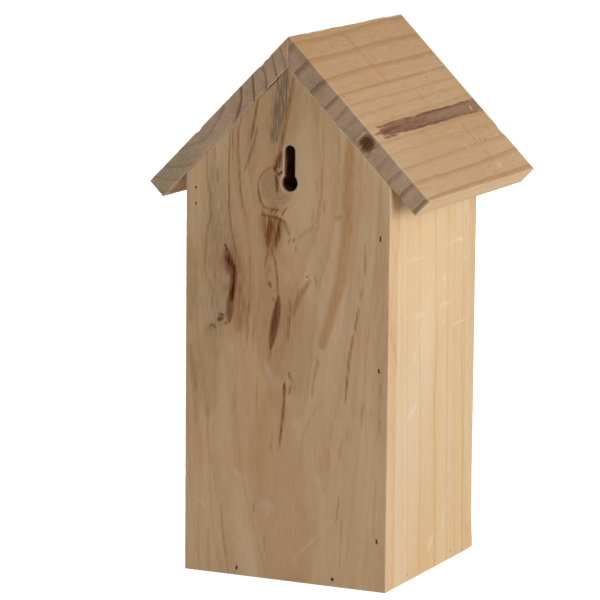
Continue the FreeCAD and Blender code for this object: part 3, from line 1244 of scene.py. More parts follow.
# what marks each board, measured in the photograph where it shows the board
BACK_MARKS: Marks = (
    # broad zones of paler, warmer and darker wood
    *strokes(Ink.AMBER, (36, 0.36, 5, -23.3, -1, 30, -6.6, 68, -7.7, 103.6), soft=0.4),
    *strokes(
        Ink.AMBER, (26, 0.15, 14, 116, 14, 62), (5, 0.3, 57.1, 227.3, 57.6, 188.4, 53.9, 154.5),
        (9, 0.15, 43.7, 91.4, 42.5, -6.1), (18, 0.32, 40, 248, 39, 205), (9, 0.22, 42, 200, 42, 100),
        (14, 0.18, 56, 34, 56, -6), (8, 0.12, 33, 140, 33, 98), soft=0.9,
    ),
    *strokes(
        Ink.AMBER, (7, 0.62, 38, 253.8, 37.2, 220.4, 36.3, 198, 33.5, 175.3, 28.2, 156.9, 22.3, 137.7),
        taper=0.3,
    ),
    *strokes(
        Ink.HEART, (2.5, 0.12, 36.3, 248.1, 35.4, 220.2, 33.9, 192.2, 29.4, 163.7),
        (16, 0.4, -48.8, 140.1, -48.6, 94), (46, 0.35, -2.1, 301.3, -10.9, 256.3),
        (8, 0.35, -61.1, 190.7, -60.3, 144.9), (20, 0.26, -44, 205, -44, 128), (26, 0.42, 5, 166, 5, 112),
        (8, 0.26, -13, 174, -13, 140), (22, 0.26, -35, 194, -35, 170), soft=0.9,
    ),
    *strokes(Ink.PALE, (20, 0.14, -39.9, 120.8, -35.6, 54.7), (17, 0.4, -27, 58, -21, -8), soft=0.8),
    # the pale zone low at the right also paints light: the panel brighter towards the lower right
    *strokes(
        Ink.PALE, (9, 0.2, -60.2, 76, -60.2, -0.6), (20, 0.25, -49.7, 59.1, -49.3, -11.1),
        (26, 0.4, 49.8, 92, 48.7, -15.4), (14, 0.2, 23.9, 62, 23.9, -12.5), (18, 0.22, 13, 264, 13, 206),
        (9, 0.28, 51, 140, 51, 98), (14, 0.18, -57, 236, -57, 190), (18, 0.1, 6, 214, 4, 160),
        (20, 0.2, 34, 25, 34, -20), (13, 0.34, 15, 24, 15, 0), soft=0.9,
    ),
    *strokes(Ink.AMBER, (26, 0.16, 54.4, 249.3, 54.3, 120.8), soft=0.8),
    *strokes(
        Ink.HEART, (26, 0.4, -29.5, 266.3, -31.2, 141.6), (22, 0.35, -9, 190, -6, 121),
        (20, 0.36, -7, 250, -7, 214), soft=0.95,
    ),
    # darker, greyer wood under the roof and at the left, and clean long edge
    *strokes(
        Ink.BLUE, (20, 0.21, -44, 232, -44, 140), (8, 0.14, -57, 168, -57, 88),
        (8, 0.18, -21, 262, -22, 232), (60, 0.09, -0.2, 295.9, -2.2, 245.6), soft=0.9,
    ),
    *strokes(Ink.PALE, (6, 0.12, 63.5, -40, 63.5, 270), taper=0, depth=-7, reach=6),
    *strokes(Ink.BLUE, (6, 0.08, 63.5, -40, 63.5, 270), taper=0, depth=-7, reach=6),
    # summer wood that shows as single lines, left
    *strokes(
        Ink.LATE, (1.7, 0.88, -18.1, 274.2, -19.6, 265.8, -21.1, 256.7, -22.9, 249.9),
        (1.6, 0.6, -18.6, 257.3, -20.7, 248.2, -23.5, 240.7, -26.2, 232.7),
        (1.7, 0.55, -28.6, 262.5, -30.7, 254, -30.3, 238.3, -28.9, 221.4, -27.3, 211.9, -24.7, 205.9),
        (1.2, 0.68, -35.4, 255.3, -36.2, 237.8, -36, 212.4, -34.7, 198.9, -31.5, 186.1, -30.1, 173.1),
        (1, 0.63, -33.8, 256.5, -34.3, 237.9), (1.3, 0.49, -45.3, 244, -45, 236.1),
        (1.2, 0.51, -44, 233.4, -43.6, 226),
        (1.5, 0.46, -50, 241.4, -49.6, 225.6, -47.3, 215.6, -47.3, 207.1, -49.8, 196.1, -50.6, 182.3,
         -51.5, 174.3), (1.3, 0.19, -29, 190.2, -28.8, 164.7, -30.6, 147.4),
        (1.2, 0.3, -23, 185, -22.8, 159.4, -24.6, 142.2),
        (1.2, 0.15, -15.2, 183.9, -16.9, 159.9, -18.6, 142.7), (2.6, 0.28, -60.2, 130.5, -56.3, 104.9),
        (1.6, 0.14, -55.7, 125.1, -56.2, 96.2, -55.4, 70.1), (1.5, 0.14, -43.7, 131.9, -44.8, 103),
        (1.3, 0.22, -48.3, 105.6, -48.8, 73.7), (1.4, 0.22, -31.3, 111.8, -31.8, 94.5),
        (1.3, 0.3, -17.8, 115.3, -18.3, 93.4), (1, 0.19, -45.9, 71.1, -44.2, 55, -42.6, 42.4),
        (1.7, 0.36, -40, 39.8, -38.9, 25.3, -37, 13.8, -35.3, 0), (1.2, 0.15, -54.7, 41.1, -54.5, 5.9),
        (1.2, 0.3, -47.6, 30.2, -48.1, -0.4),
        (2.2, 0.14, -32.2, 101.3, -30.2, 84.8, -26.8, 56.8, -21.6, 37, -16.4, 20.2, -9.9, -0.7),
        (1.3, 0.44, -19.4, 43.1, -19.1, 36.7), (1, 0.27, -12.7, 29.3, -12, 17.7),
    ),
    *strokes(
        Ink.LATE, (1.5, 0.32, -51.2, 175.4, -48.7, 169.6, -46.4, 164.4, -45.9, 159.3, -46.6, 153.5),
        (2, 0.22, -23.3, 159, -24.2, 131), (1.4, 0.18, -19.6, 152, -20.8, 128), soft=0.9,
    ),
    *strokes(Ink.BLUE, (2.4, 0.24, -23.5, 157.1, -24.2, 137.1), soft=0.9),
    *strokes(Ink.BLUE, (1.6, 0.16, -19.6, 150.6, -20.8, 134.5)),
    # summer wood that shows as single lines, right
    *strokes(
        Ink.LATE, (1.1, 0.25, 32.2, 257.8, 31.5, 239.5),
        (1.1, 0.33, 22.2, 260.5, 21.8, 238.8, 20.8, 220.3, 17.9, 205.5), (1, 0.3, 18.5, 231.3, 18, 222.4),
        (1, 0.46, 23.5, 220, 22.4, 211.5), (1.2, 0.23, 16.3, 215, 15.5, 202.6),
        (3.2, 0.37, 29.5, 209.2, 33.1, 210.6), (1.1, 0.55, 48.4, 197.2, 47.8, 178.7),
        (1.1, 0.5, 46.3, 172.3, 45.5, 165.5), (1.2, 0.68, 44.4, 159.8, 42.1, 146.1),
        (1.7, 0.72, 41.5, 145.5, 39, 130.6, 37.6, 116.3, 36.8, 105.5), (1, 0.27, 38.8, 94.4, 38, 84.6),
        (1.5, 0.21, 35.2, 86, 33.5, 73.3), (1.3, 0.38, 33.8, 51.6, 32.1, 37.1),
        (1, 0.28, 35.8, 41.5, 34.8, 18.9, 33.7, 4.4), (1.4, 0.32, 47.8, 107.1, 47.1, 93.5),
        (1, 0.44, 58.6, 121.1, 57.5, 108.6), (1.1, 0.14, 49.1, 148.5, 49, 109, 51.4, 69.4),
        (1.1, 0.25, 56, 64.2, 55.2, 32.7), (1.2, 0.14, 51.9, 29.5, 50.4, 6.3),
        (2, 0.14, 20.2, 104, 14.2, 91.4, 10.5, 83.6, 8.9, 65.1),
    ),
    *strokes(Ink.RUST, (0.9, 0.32, 58.5, 102.5, 58.1, 90.6)),
    # sap stain in streaks over the knot
    *strokes(
        Ink.BLUE, (8.4, 0.54, -2.6, 290.2, -3.4, 277.9, -5.1, 268.9, -7.5, 257.6, -8.4, 252), soft=0.4,
        taper=0.35,
    ),
    *strokes(
        Ink.BLUE, (1.5, 0.28, -6.2, 285.5, -7, 274.4, -7.3, 264.3, -9.9, 252.4),
        (1.4, 0.18, -3.8, 285.7, -4, 273.4, -6.3, 256.6), (2, 0.3, -1.3, 290.3, -1.2, 279.2, -3.6, 264.5),
        taper=0.2,
    ),
    # knot beside the keyhole with its rings, cracks and bark
    *strokes(
        Ink.LATE, (2.6, 0.42, 3.3, 286.1, 2.1, 275.5, -1, 262.5, -3.2, 250, -5, 242.1, -6.7, 238.1),
        soft=0.8, taper=0.2,
    ),
    *strokes(Ink.RUST, (2, 0.3, 3, 285, 1.7, 276, -1.3, 262.4, -3.6, 250, -5, 242.7), soft=0.9, taper=0.3),
    *strokes(Ink.RUST, (4.6, 0.7, -3.7, 243.9, -5.5, 238.1, -7.6, 234.9), soft=0.9),
    *strokes(Ink.BARK, (1.2, 0.58, -8.9, 236.8, -6.4, 235.8, -3.9, 236.6), soft=0.8),
    *strokes(Ink.BARK, (3, 0.36, -4.4, 242, -5.4, 238.6, -6.8, 235.8), soft=0.9),
    *strokes(Ink.LATE, (1.2, 0.55, -9.5, 235.8, -15, 232.2, -17.9, 226.7, -18, 220.5), soft=0.8, taper=0.1),
    *strokes(Ink.RUST, (1.5, 0.78, -17.8, 222.1, -16.4, 216, -13.9, 212.6), soft=0.7, taper=0.4),
    *strokes(
        Ink.LATE,
        (0.9, 0.16, -11.9, 232.7, -14.7, 227.4, -14.6, 221.2, -11.8, 215.8, -6.8, 213.9, -1.3, 215.4),
        (0.9, 0.16, -10.7, 229.9, -12.2, 224.8, -10.6, 219.3, -6.2, 217.3, -0.7, 219.4),
        (0.9, 0.14, -8.8, 227.3, -9.4, 223.8, -6.9, 220.6, -3.2, 221.5), taper=0.1,
    ),
    *strokes(
        Ink.RUST, (2.3, 0.8, -7.7, 231.3, -6.3, 228, -6.1, 221.8), (0.9, 0.91, -10.8, 209.4, -8.3, 212.1),
        (0.9, 0.75, -7.7, 209.9, -5.2, 212.4), (0.9, 0.49, -4.9, 210.1, -2.8, 212.5),
        (1.1, 0.91, -3.3, 208.7, 0, 214),
    ),
    *strokes(Ink.BARK, (1.1, 0.62, -7, 230.7, -6.1, 226.3)),
    *strokes(
        Ink.BARK, (1.3, 0.95, -8.4, 235.1, -6.7, 233, -5.4, 231.6, -3.2, 233.4, -1.1, 232.8), soft=0.4,
        taper=0.3,
    ),
    *strokes(Ink.PALE, (1.4, 0.35, -5.1, 233.7, -2.4, 234.6), soft=0.8),
    *strokes(Ink.RUST, (1.2, 0.66, -14.9, 212.8, -9.3, 211.7, -3.8, 211.9), soft=0.8),
    # bark fan under the knot
    *strokes(Ink.LATE, (15, 0.38, -9.3, 210.9, -10.3, 187.7), soft=1),
    *strokes(
        Ink.BARK, (1.3, 0.78, -15.4, 208.8, -12.3, 207.9, -8.6, 207.7, -4.9, 206.9, -1.8, 205.4), taper=0.3,
    ),
    *strokes(
        Ink.RUST, (2.8, 0.44, -15.5, 211.6, -14.2, 206.6, -12.5, 192), (6, 0.55, -6.7, 207.1, -7.5, 192.4),
        (2.4, 0.41, -2.1, 205.8, -0.5, 203.1, 1.4, 198.2), soft=0.9,
    ),
    *strokes(
        Ink.RUST, (3.6, 0.74, -10.4, 206.9, -10.7, 200.1, -11.5, 190.4),
        (3, 0.56, -4, 206.5, -4.8, 198.8, -6.9, 190.2), soft=0.8,
    ),
    *strokes(
        Ink.BARK, (1.1, 0.58, -11.3, 206.5, -11.5, 197.8), (1.1, 0.6, -9.2, 206.4, -9.8, 197.9),
        (1.3, 0.68, -4.8, 205.9, -5.4, 196.6),
    ),
    *strokes(Ink.LATE, (1.4, 0.59, -10.9, 189.8, -12.4, 184.6, -13.3, 178.3)),
    *strokes(Ink.RUST, (1.1, 0.61, -9.4, 190.6, -7, 182.3, -5.6, 172.2, -5.2, 162), taper=0.1),
    # dark lens below it
    *strokes(
        Ink.RESIN, (5.2, 0.66, -4.9, 162.6, -5.2, 156.3, -6.7, 148.8, -8.1, 141.3, -9.5, 133.2), soft=0.25,
        taper=0.7,
    ),
    *strokes(
        Ink.RUST, (5, 0.48, -4.9, 162.6, -5.2, 156.3, -6.7, 148.8, -8.1, 141.3, -9.5, 133.2), soft=0.35,
        taper=0.7,
    ),
    *strokes(Ink.BARK, (2.6, 0.46, -6.4, 159.5, -7, 150.5, -8.6, 141), soft=0.9),
    *strokes(Ink.LATE, (1.4, 0.45, -9.2, 135.5, -10.1, 126.3)),
    *strokes(Ink.BARK, (1.4, 0.78, -11.1, 171.1, -9.5, 167.8)),
    *strokes(Ink.RUST, (0.9, 0.65, -8.8, 161.7, -6.3, 159.7)),
    # dark branch scar on the left
    *strokes(
        Ink.LATE, (9.5, 0.46, -34, 188.2, -30.1, 173.1, -28.2, 159, -29.3, 142.9),
        (7, 0.18, -48.2, 141.3, -36.9, 150.3), soft=1,
    ),
    *strokes(Ink.RESIN, (6.6, 0.44, -37.8, 186.5, -36, 180.4, -34, 172.4), soft=0.8),
    *strokes(
        Ink.RUST, (6.4, 0.52, -37.4, 186, -35.8, 180.4, -33.6, 172.4),
        (1.7, 0.8, -37.7, 145.8, -37.4, 144.4),
    ),
    *strokes(Ink.BARK, (2.4, 0.5, -36.2, 183.2, -33.8, 176.6), soft=0.7),
    *strokes(Ink.BARK, (1.6, 0.95, -38.3, 189.9, -37.3, 187.6, -36.2, 185.7), soft=0.35, taper=0.4),
    *strokes(
        Ink.BARK, (1.3, 0.6, -38.5, 183.8, -37.3, 182.2, -37.7, 180.2),
        (1.3, 0.8, -36.4, 185.4, -35.5, 182.9, -36.2, 180.6, -35.2, 178.4),
        (1.2, 0.72, -34.4, 182.2, -33.2, 179.1, -32.3, 175.8), soft=0.4,
    ),
    *strokes(
        Ink.BARK, (1, 0.45, -37.1, 178.8, -36.2, 176), (1.1, 0.91, -42.2, 150.3, -38.4, 149.2), soft=0.5,
    ),
    *strokes(Ink.PALE, (0.9, 0.5, -35.6, 181.2, -34.4, 178.6)),
    *strokes(
        Ink.BARK, (2.1, 0.76, -32.3, 178.1, -32.4, 172.4, -32.9, 167.2, -33.6, 162, -34.2, 157.6), soft=0.4,
        taper=0.5,
    ),
    *strokes(Ink.RUST, (4.3, 0.7, -32.8, 178, -33.2, 168.9, -34.1, 158.5), soft=0.4, taper=0.4),
    *strokes(Ink.RESIN, (4.9, 0.58, -33.9, 163.7, -34.9, 156.2, -35.5, 146.6), soft=0.35, taper=0.5),
    *strokes(Ink.RUST, (4.6, 0.46, -33.9, 163.7, -34.9, 156.2, -35.5, 146.6), soft=0.4, taper=0.5),
    *strokes(
        Ink.BARK, (1.2, 0.26, -33.3, 161.4, -34, 153.4), (0.9, 0.35, -35.4, 158.4, -35.8, 150.4),
        (1.2, 0.51, -42.5, 146.6, -39.8, 147.3), (1.1, 0.78, -47.8, 142.8, -46.1, 143.6, -43.8, 141.8),
    ),
    *strokes(Ink.RUST, (3, 0.74, -42.9, 146.8, -39.4, 148), soft=0.4),
    # smaller scars and resin flecks
    *strokes(
        Ink.LATE, (3.4, 0.54, 14.3, 173.1, 10, 167.1, 7, 161.2, 4.6, 153.1),
        (2.4, 0.5, -0.6, 110.3, -1.1, 98.5, -2.3, 88.7, -3.7, 76.5), (5, 0.11, 22.8, 67.7, 26, 53.1),
        soft=0.9,
    ),
    *strokes(Ink.BARK, (1, 0.97, 12.7, 175.6, 13.3, 175.1)),
    *strokes(
        Ink.LATE, (2.6, 0.52, 2.3, 162.6, 1.3, 138.7), (2.2, 0.14, -0.7, 159.6, -1.1, 131.7),
        (1.2, 0.5, 19.6, 131.7, 18.2, 121.9, 15.9, 105.8), (1, 0.55, 20.6, 129.6, 19.4, 121),
    ),
    *strokes(
        Ink.RUST, (2.2, 0.9, -0.8, 114, -0.7, 106),
        (1.2, 0.6, -0.6, 108.3, -1.1, 98.5, -2.3, 88.7, -3.5, 78.5), (1.4, 0.72, 1.8, 120.1, 3.7, 115.7),
        (1.2, 0.55, 3.4, 113.3, 2.2, 108), (0.9, 0.39, -8.2, 85.8, -8.4, 80.6),
        (0.9, 0.35, -9.1, 79.4, -9, 74.8), (1.2, 0.45, 17.5, 175.7, 18.9, 170.2),
        (0.8, 0.6, 0.8, 193, 2.3, 196.5), (0.8, 0.73, 3.6, 193.8, 5.1, 197),
        (0.8, 0.42, 7.2, 195.6, 9, 199.1), (0.8, 0.42, 10, 198.5, 12.1, 202),
        (0.8, 0.47, 13, 200, 14.8, 203.3), (0.9, 0.51, 5.2, 188.3, 6, 192.3),
    ),
    *strokes(Ink.BLUE, (1.5, 0.2, 27.4, 72.1, 27.4, 68.7)),
    # rubs and scratches
    *strokes(Ink.SCUFF, (4.5, 0.22, 19.4, 62.1, 20.7, 58.3), (2.4, 0.3, -12.9, 124.9, -9.1, 116.1), soft=1),
    *strokes(
        Ink.SCUFF, (0.9, 0.6, -31.9, 62.1, -30, 57.6), (0.8, 0.5, -54.7, 41.1, -48.6, 38.2),
        (0.9, 0.3, 30.9, 38.6, 5, 12.7), (0.8, 0.25, 16.6, 36.5, 24.6, 44.3),
    ),
    *strokes(Ink.SCUFF, (7, 0.2, -15.3, 42.3, -7.8, 42.6), soft=0.95),
)
SIDE_MARKS: Marks = (
    # warmer and paler zones
    *strokes(Ink.AMBER, (90, 0.12, 43.9, -10.6, 44.7, 82.9), soft=0.9),
    *strokes(Ink.PALE, (70, 0.25, 50, 205.8, 38.2, 141.7), soft=0.9),
    *strokes(Ink.AMBER, (3, 0.2, 95.3, 199.9, 97.8, 1.4), soft=0.9, taper=0),
    # painted shade in the joint with the back panel's edge, under the eave
    *strokes(Ink.LATE, (2, 0.3, 1.2, 225, -0.3, 187.2), soft=0.8),
    # rubs
    *strokes(
        Ink.SCUFF, (4, 0.3, 63, 169, 67.4, 166.6), (1.4, 0.3, 62.3, 186.4, 91.5, 187),
        (3, 0.28, 87, 187, 91.5, 185.8), (1.2, 0.28, 89, 175.7, 108.4, 174.7),
        (1.4, 0.22, 8.8, 183.6, 40.9, 184.8), (2.6, 0.32, 59.3, 152.2, 70.9, 152.2),
        (1.4, 0.24, 72.3, 152.5, 79.6, 153.2), (2.8, 0.3, 23.8, 151.4, 36.5, 151.1),
        (1.4, 0.3, 37.9, 150.3, 40.2, 146), (2.2, 0.26, 9.2, 152, 12.6, 152.6),
        (2.4, 0.34, 64.4, 143.6, 65.9, 142.2), (1.2, 0.26, 77.3, 138.4, 98, 138.7),
        (3, 0.26, -5, 144.6, -3.6, 142.7), (1.8, 0.24, 32.6, 140.9, 30.6, 137.7),
        (3.2, 0.24, 24.5, 131.3, 24.1, 124.5), (2.4, 0.3, 13.3, 93.8, 29.8, 100.6),
        (2.4, 0.24, 26.9, 24.2, 29.9, 21.2), (4, 0.32, 47.3, 12.8, 54.3, 19.6),
        (1.8, 0.22, 13.8, 38.5, 13.4, 30.5), soft=1,
    ),
    *strokes(Ink.SCUFF, (1.8, 0.34, 69.1, 31.8, 66.7, 18.7), soft=0.9),
)
FRONT_MARKS: Marks = (
    *strokes(Ink.AMBER, (7, 0.15, -63.5, -20, -63.5, 250), depth=-6, reach=10),
    *strokes(Ink.AMBER, (30, 0.25, -18, -20, -10, 140), soft=0.8),
    *strokes(Ink.PALE, (22, 0.25, 44, 20, 40, 200), soft=0.9),
    *flecks(Ink.LATE, 26, (-60.0, 60.0), (10.0, 240.0), 0.45, 3),
    *flecks(Ink.RUST, 5, (-56.0, 56.0), (20.0, 210.0), 0.45, 4),
    *flecks(Ink.SCUFF, 7, (-50.0, 50.0), (30.0, 200.0), 0.3, 5),
)
DOOR_MARKS: Marks = (
    *strokes(Ink.AMBER, (24, 0.25, 22, -20, 30, 240), soft=0.8),
    *flecks(Ink.LATE, 18, (4.0, 88.0), (10.0, 215.0), 0.4, 6),
    *flecks(Ink.RUST, 3, (6.0, 86.0), (20.0, 200.0), 0.45, 7),
    *flecks(Ink.SCUFF, 6, (10.0, 80.0), (20.0, 200.0), 0.3, 8),
)
FLOOR_MARKS: Marks = (
    *flecks(Ink.LATE, 14, (-44.0, 44.0), (8.0, 90.0), 0.4, 9),
    *flecks(Ink.SCUFF, 6, (-40.0, 40.0), (14.0, 84.0), 0.3, 10),
)
# measured rings of the roof boards: where they end, from the pith outwards, and how dark their summer wood is
NEAR_ROOF_LOG = (
    (247.2, 259.0, 269.2, 279.0, 287.5, 300.0, 307.0, 314.2, 323.2, 335.5, 349.7),
    (1.0, 1.0, 0.7, 0.35, 0.5, 0.4, 0.35, 0.55, 0.9, 1.0, 1.0),
)
FAR_ROOF_LOG = ((36.0, 45.7, 53.5, 60.8, 68.0, 74.2), (0.5, 1.0, 1.0, 1.0, 1.0, 0.8))
# lumps of the ridge, each with its place along it, its push inwards, and its radius across and along
RIDGE_LUMPS = (
    (25.0, 0.5, 6.0, 3.0), (43.0, 0.7, 6.0, 4.0), (58.0, -0.2, 6.0, 5.0),
    (71.0, 0.7, 6.0, 3.0), (118.0, -0.3, 8.0, 14.0), (139.0, 0.6, 6.0, 5.0),
)
# knocks in the far board's end, each with its place across, its push inwards and its radius across
END_KNOCKS = ((78.6, 0.6, 2.0), (23.3, 0.6, 1.8), (17.6, 0.4, 1.6))
NEAR_ROOF_DENTS: tuple[Dent, ...] = (
    # knocked front edge
    Dent((91.5, 154.0, -3.0), (0.0, -1.5, 0.0), (3.0, 9.0, 8.0)),
    Dent((66.0, 154.0, -6.0), (0.0, -0.5, 0.0), (40.0, 14.0, 30.0)),
    *(Dent((0.0, b, 0.0), (push, 0.0, -push), (wide, long, wide)) for b, push, wide, long in RIDGE_LUMPS),
)
FAR_ROOF_DENTS: tuple[Dent, ...] = tuple(
    Dent((a, 154.0, 0.0), (0.0, 0.0, -push), (wide, 9.0, 4.0)) for a, push, wide in END_KNOCKS
)
NEAR_ROOF_MARKS: Marks = (
    # warmer ridge
    *strokes(Ink.AMBER, (50, 0.28, 6, -40, 6, 194), soft=0.9, taper=0),
    *strokes(Ink.BLUE, (50, 0.1, 4, -40, 4, 194), soft=0.9, taper=0),
    *strokes(Ink.PALE, (30, 0.07, 100, -40, 100, 194), soft=0.9, taper=0),
    *strokes(Ink.PALE, (4, 0.55, 123.5, -40, 123.5, 194), taper=0, depth=-6.5, reach=8),
    # paler end grain towards the eave, greyer towards the ridge
    *strokes(Ink.BLUE, (11, 0.1, 4, -4, 30, -4), taper=0, depth=-6, reach=9),
    *strokes(Ink.PALE, (11, 0.1, 96, -4, 130, -4), taper=0, depth=-6, reach=9),
    # resin streak from the knot in the board's end
    *frayed(Ink.RESIN, 8.4, 0.76, ((73, 14), (72.3, 44), (71.8, 92), (71.4, 150), (71.4, 190)), 90, 5),
    *strokes(Ink.RESIN, (3, 0.8, 73.4, 3, 72.8, 16, 72.2, 40), soft=0.2, taper=0.8),
    *strokes(Ink.RESIN, (1, 0.7, 69.8, 18, 69.4, 40), (1, 0.7, 75.2, 10, 75.6, 42), soft=0.3),
    *strokes(
        Ink.BARK, (1.2, 0.32, 69.4, 30, 68.6, 66, 68.1, 130), (1.2, 0.34, 75, 22, 75.4, 70, 74.8, 130),
    ),
    *strokes(Ink.BARK, (5, 0.22, 72.8, 12, 72.2, 76), soft=0.8),
    *strokes(Ink.BARK, (8.2, 0.62, 74.3, -6, 74, 5), soft=0.25, taper=0, depth=-6, reach=4.2),
    *strokes(Ink.BARK, (4, 0.5, 73.6, -6, 73.6, 5), taper=0, depth=-5.4, reach=2.2),
    *strokes(Ink.RUST, (10, 0.7, 74.3, -6, 74, 5), soft=0.3, taper=0, depth=-6, reach=5),
    *strokes(Ink.SCUFF, (1.4, 0.4, 66.6, -2, 69.6, 0.6), depth=-3.4, reach=1.2),
    *strokes(Ink.SCUFF, (1, 0.4, 68.6, -2, 69, 0.6), depth=-6.2, reach=2.6),
    *strokes(Ink.SCUFF, (1.6, 0.4, 79.4, -2, 80, 0.6), depth=-6, reach=1.6),
    *strokes(Ink.SCUFF, (1.4, 0.4, 72.6, -2, 73.2, 0.8), depth=-10.4, reach=1.4),
    # gum that ran down from the ridge
    *strokes(Ink.GUM, (4.5, 0.3, 3, 63.5, 16, 65.5, 29, 66, 42, 68.5), soft=0.9, taper=0.2),
    *strokes(Ink.GUM, (1.2, 0.45, 2, 62.5, 16, 64.5, 24, 66), soft=0.9),
    # scratches and rubs
    *strokes(
        Ink.RUST, (1, 0.4, 77.1, 111.9, 105, 113.2), (1, 0.35, 48.3, 93.1, 63.5, 91.7),
        (1.3, 0.8, 94.4, 124, 94.4, 125.8), (1.2, 0.7, 88.7, 100.8, 88.7, 102.4),
    ),
    *strokes(Ink.SCUFF, (1.1, 0.7, 70.2, 141.4, 74.2, 139.2)),
    *strokes(Ink.SCUFF, (7, 0.05, 71.6, 80, 71.4, 240), soft=0.9, taper=0.9),
    *strokes(Ink.SCUFF, (3.4, 0.2, 94.3, 95.4, 97.3, 97.4), (3.6, 0.22, 113.1, 112, 112.1, 119), soft=1),
)
FAR_ROOF_MARKS: Marks = (
    # greyer end grain towards the eave
    *strokes(
        Ink.PALE, (11, 0.12, 4, 158, 26, 158), (11, 0.26, 68, 158, 92, 158), (12, 0.58, 96, 158, 130, 158),
        taper=0, depth=-6, reach=9,
    ),
    *strokes(
        Ink.BLUE, (11, 0.18, 68, 158, 92, 158), (12, 0.5, 96, 158, 130, 158), taper=0, depth=-6, reach=9,
    ),
    # warmer ridge, darker streaks and rubs
    *strokes(Ink.AMBER, (44, 0.4, 6, -40, 6, 194), soft=0.9, taper=0),
    *strokes(
        Ink.LATE, (1.6, 0.4, 34, 20, 34.6, 66, 34.2, 104), (1.2, 0.45, 37.4, 58, 37.8, 128),
        (1.4, 0.4, 61, 90, 61.8, 140),
    ),
    *strokes(Ink.RUST, (1.2, 0.5, 88.2, 30, 88.6, 52), (1, 0.45, 90.4, 44, 90.5, 60)),
    *strokes(Ink.SCUFF, (3.2, 0.22, 70, 60, 76, 66), (3.6, 0.22, 20, 118, 28, 122), soft=1),
    *strokes(Ink.SCUFF, (0.9, 0.35, 104, 22, 97, 38)),
)


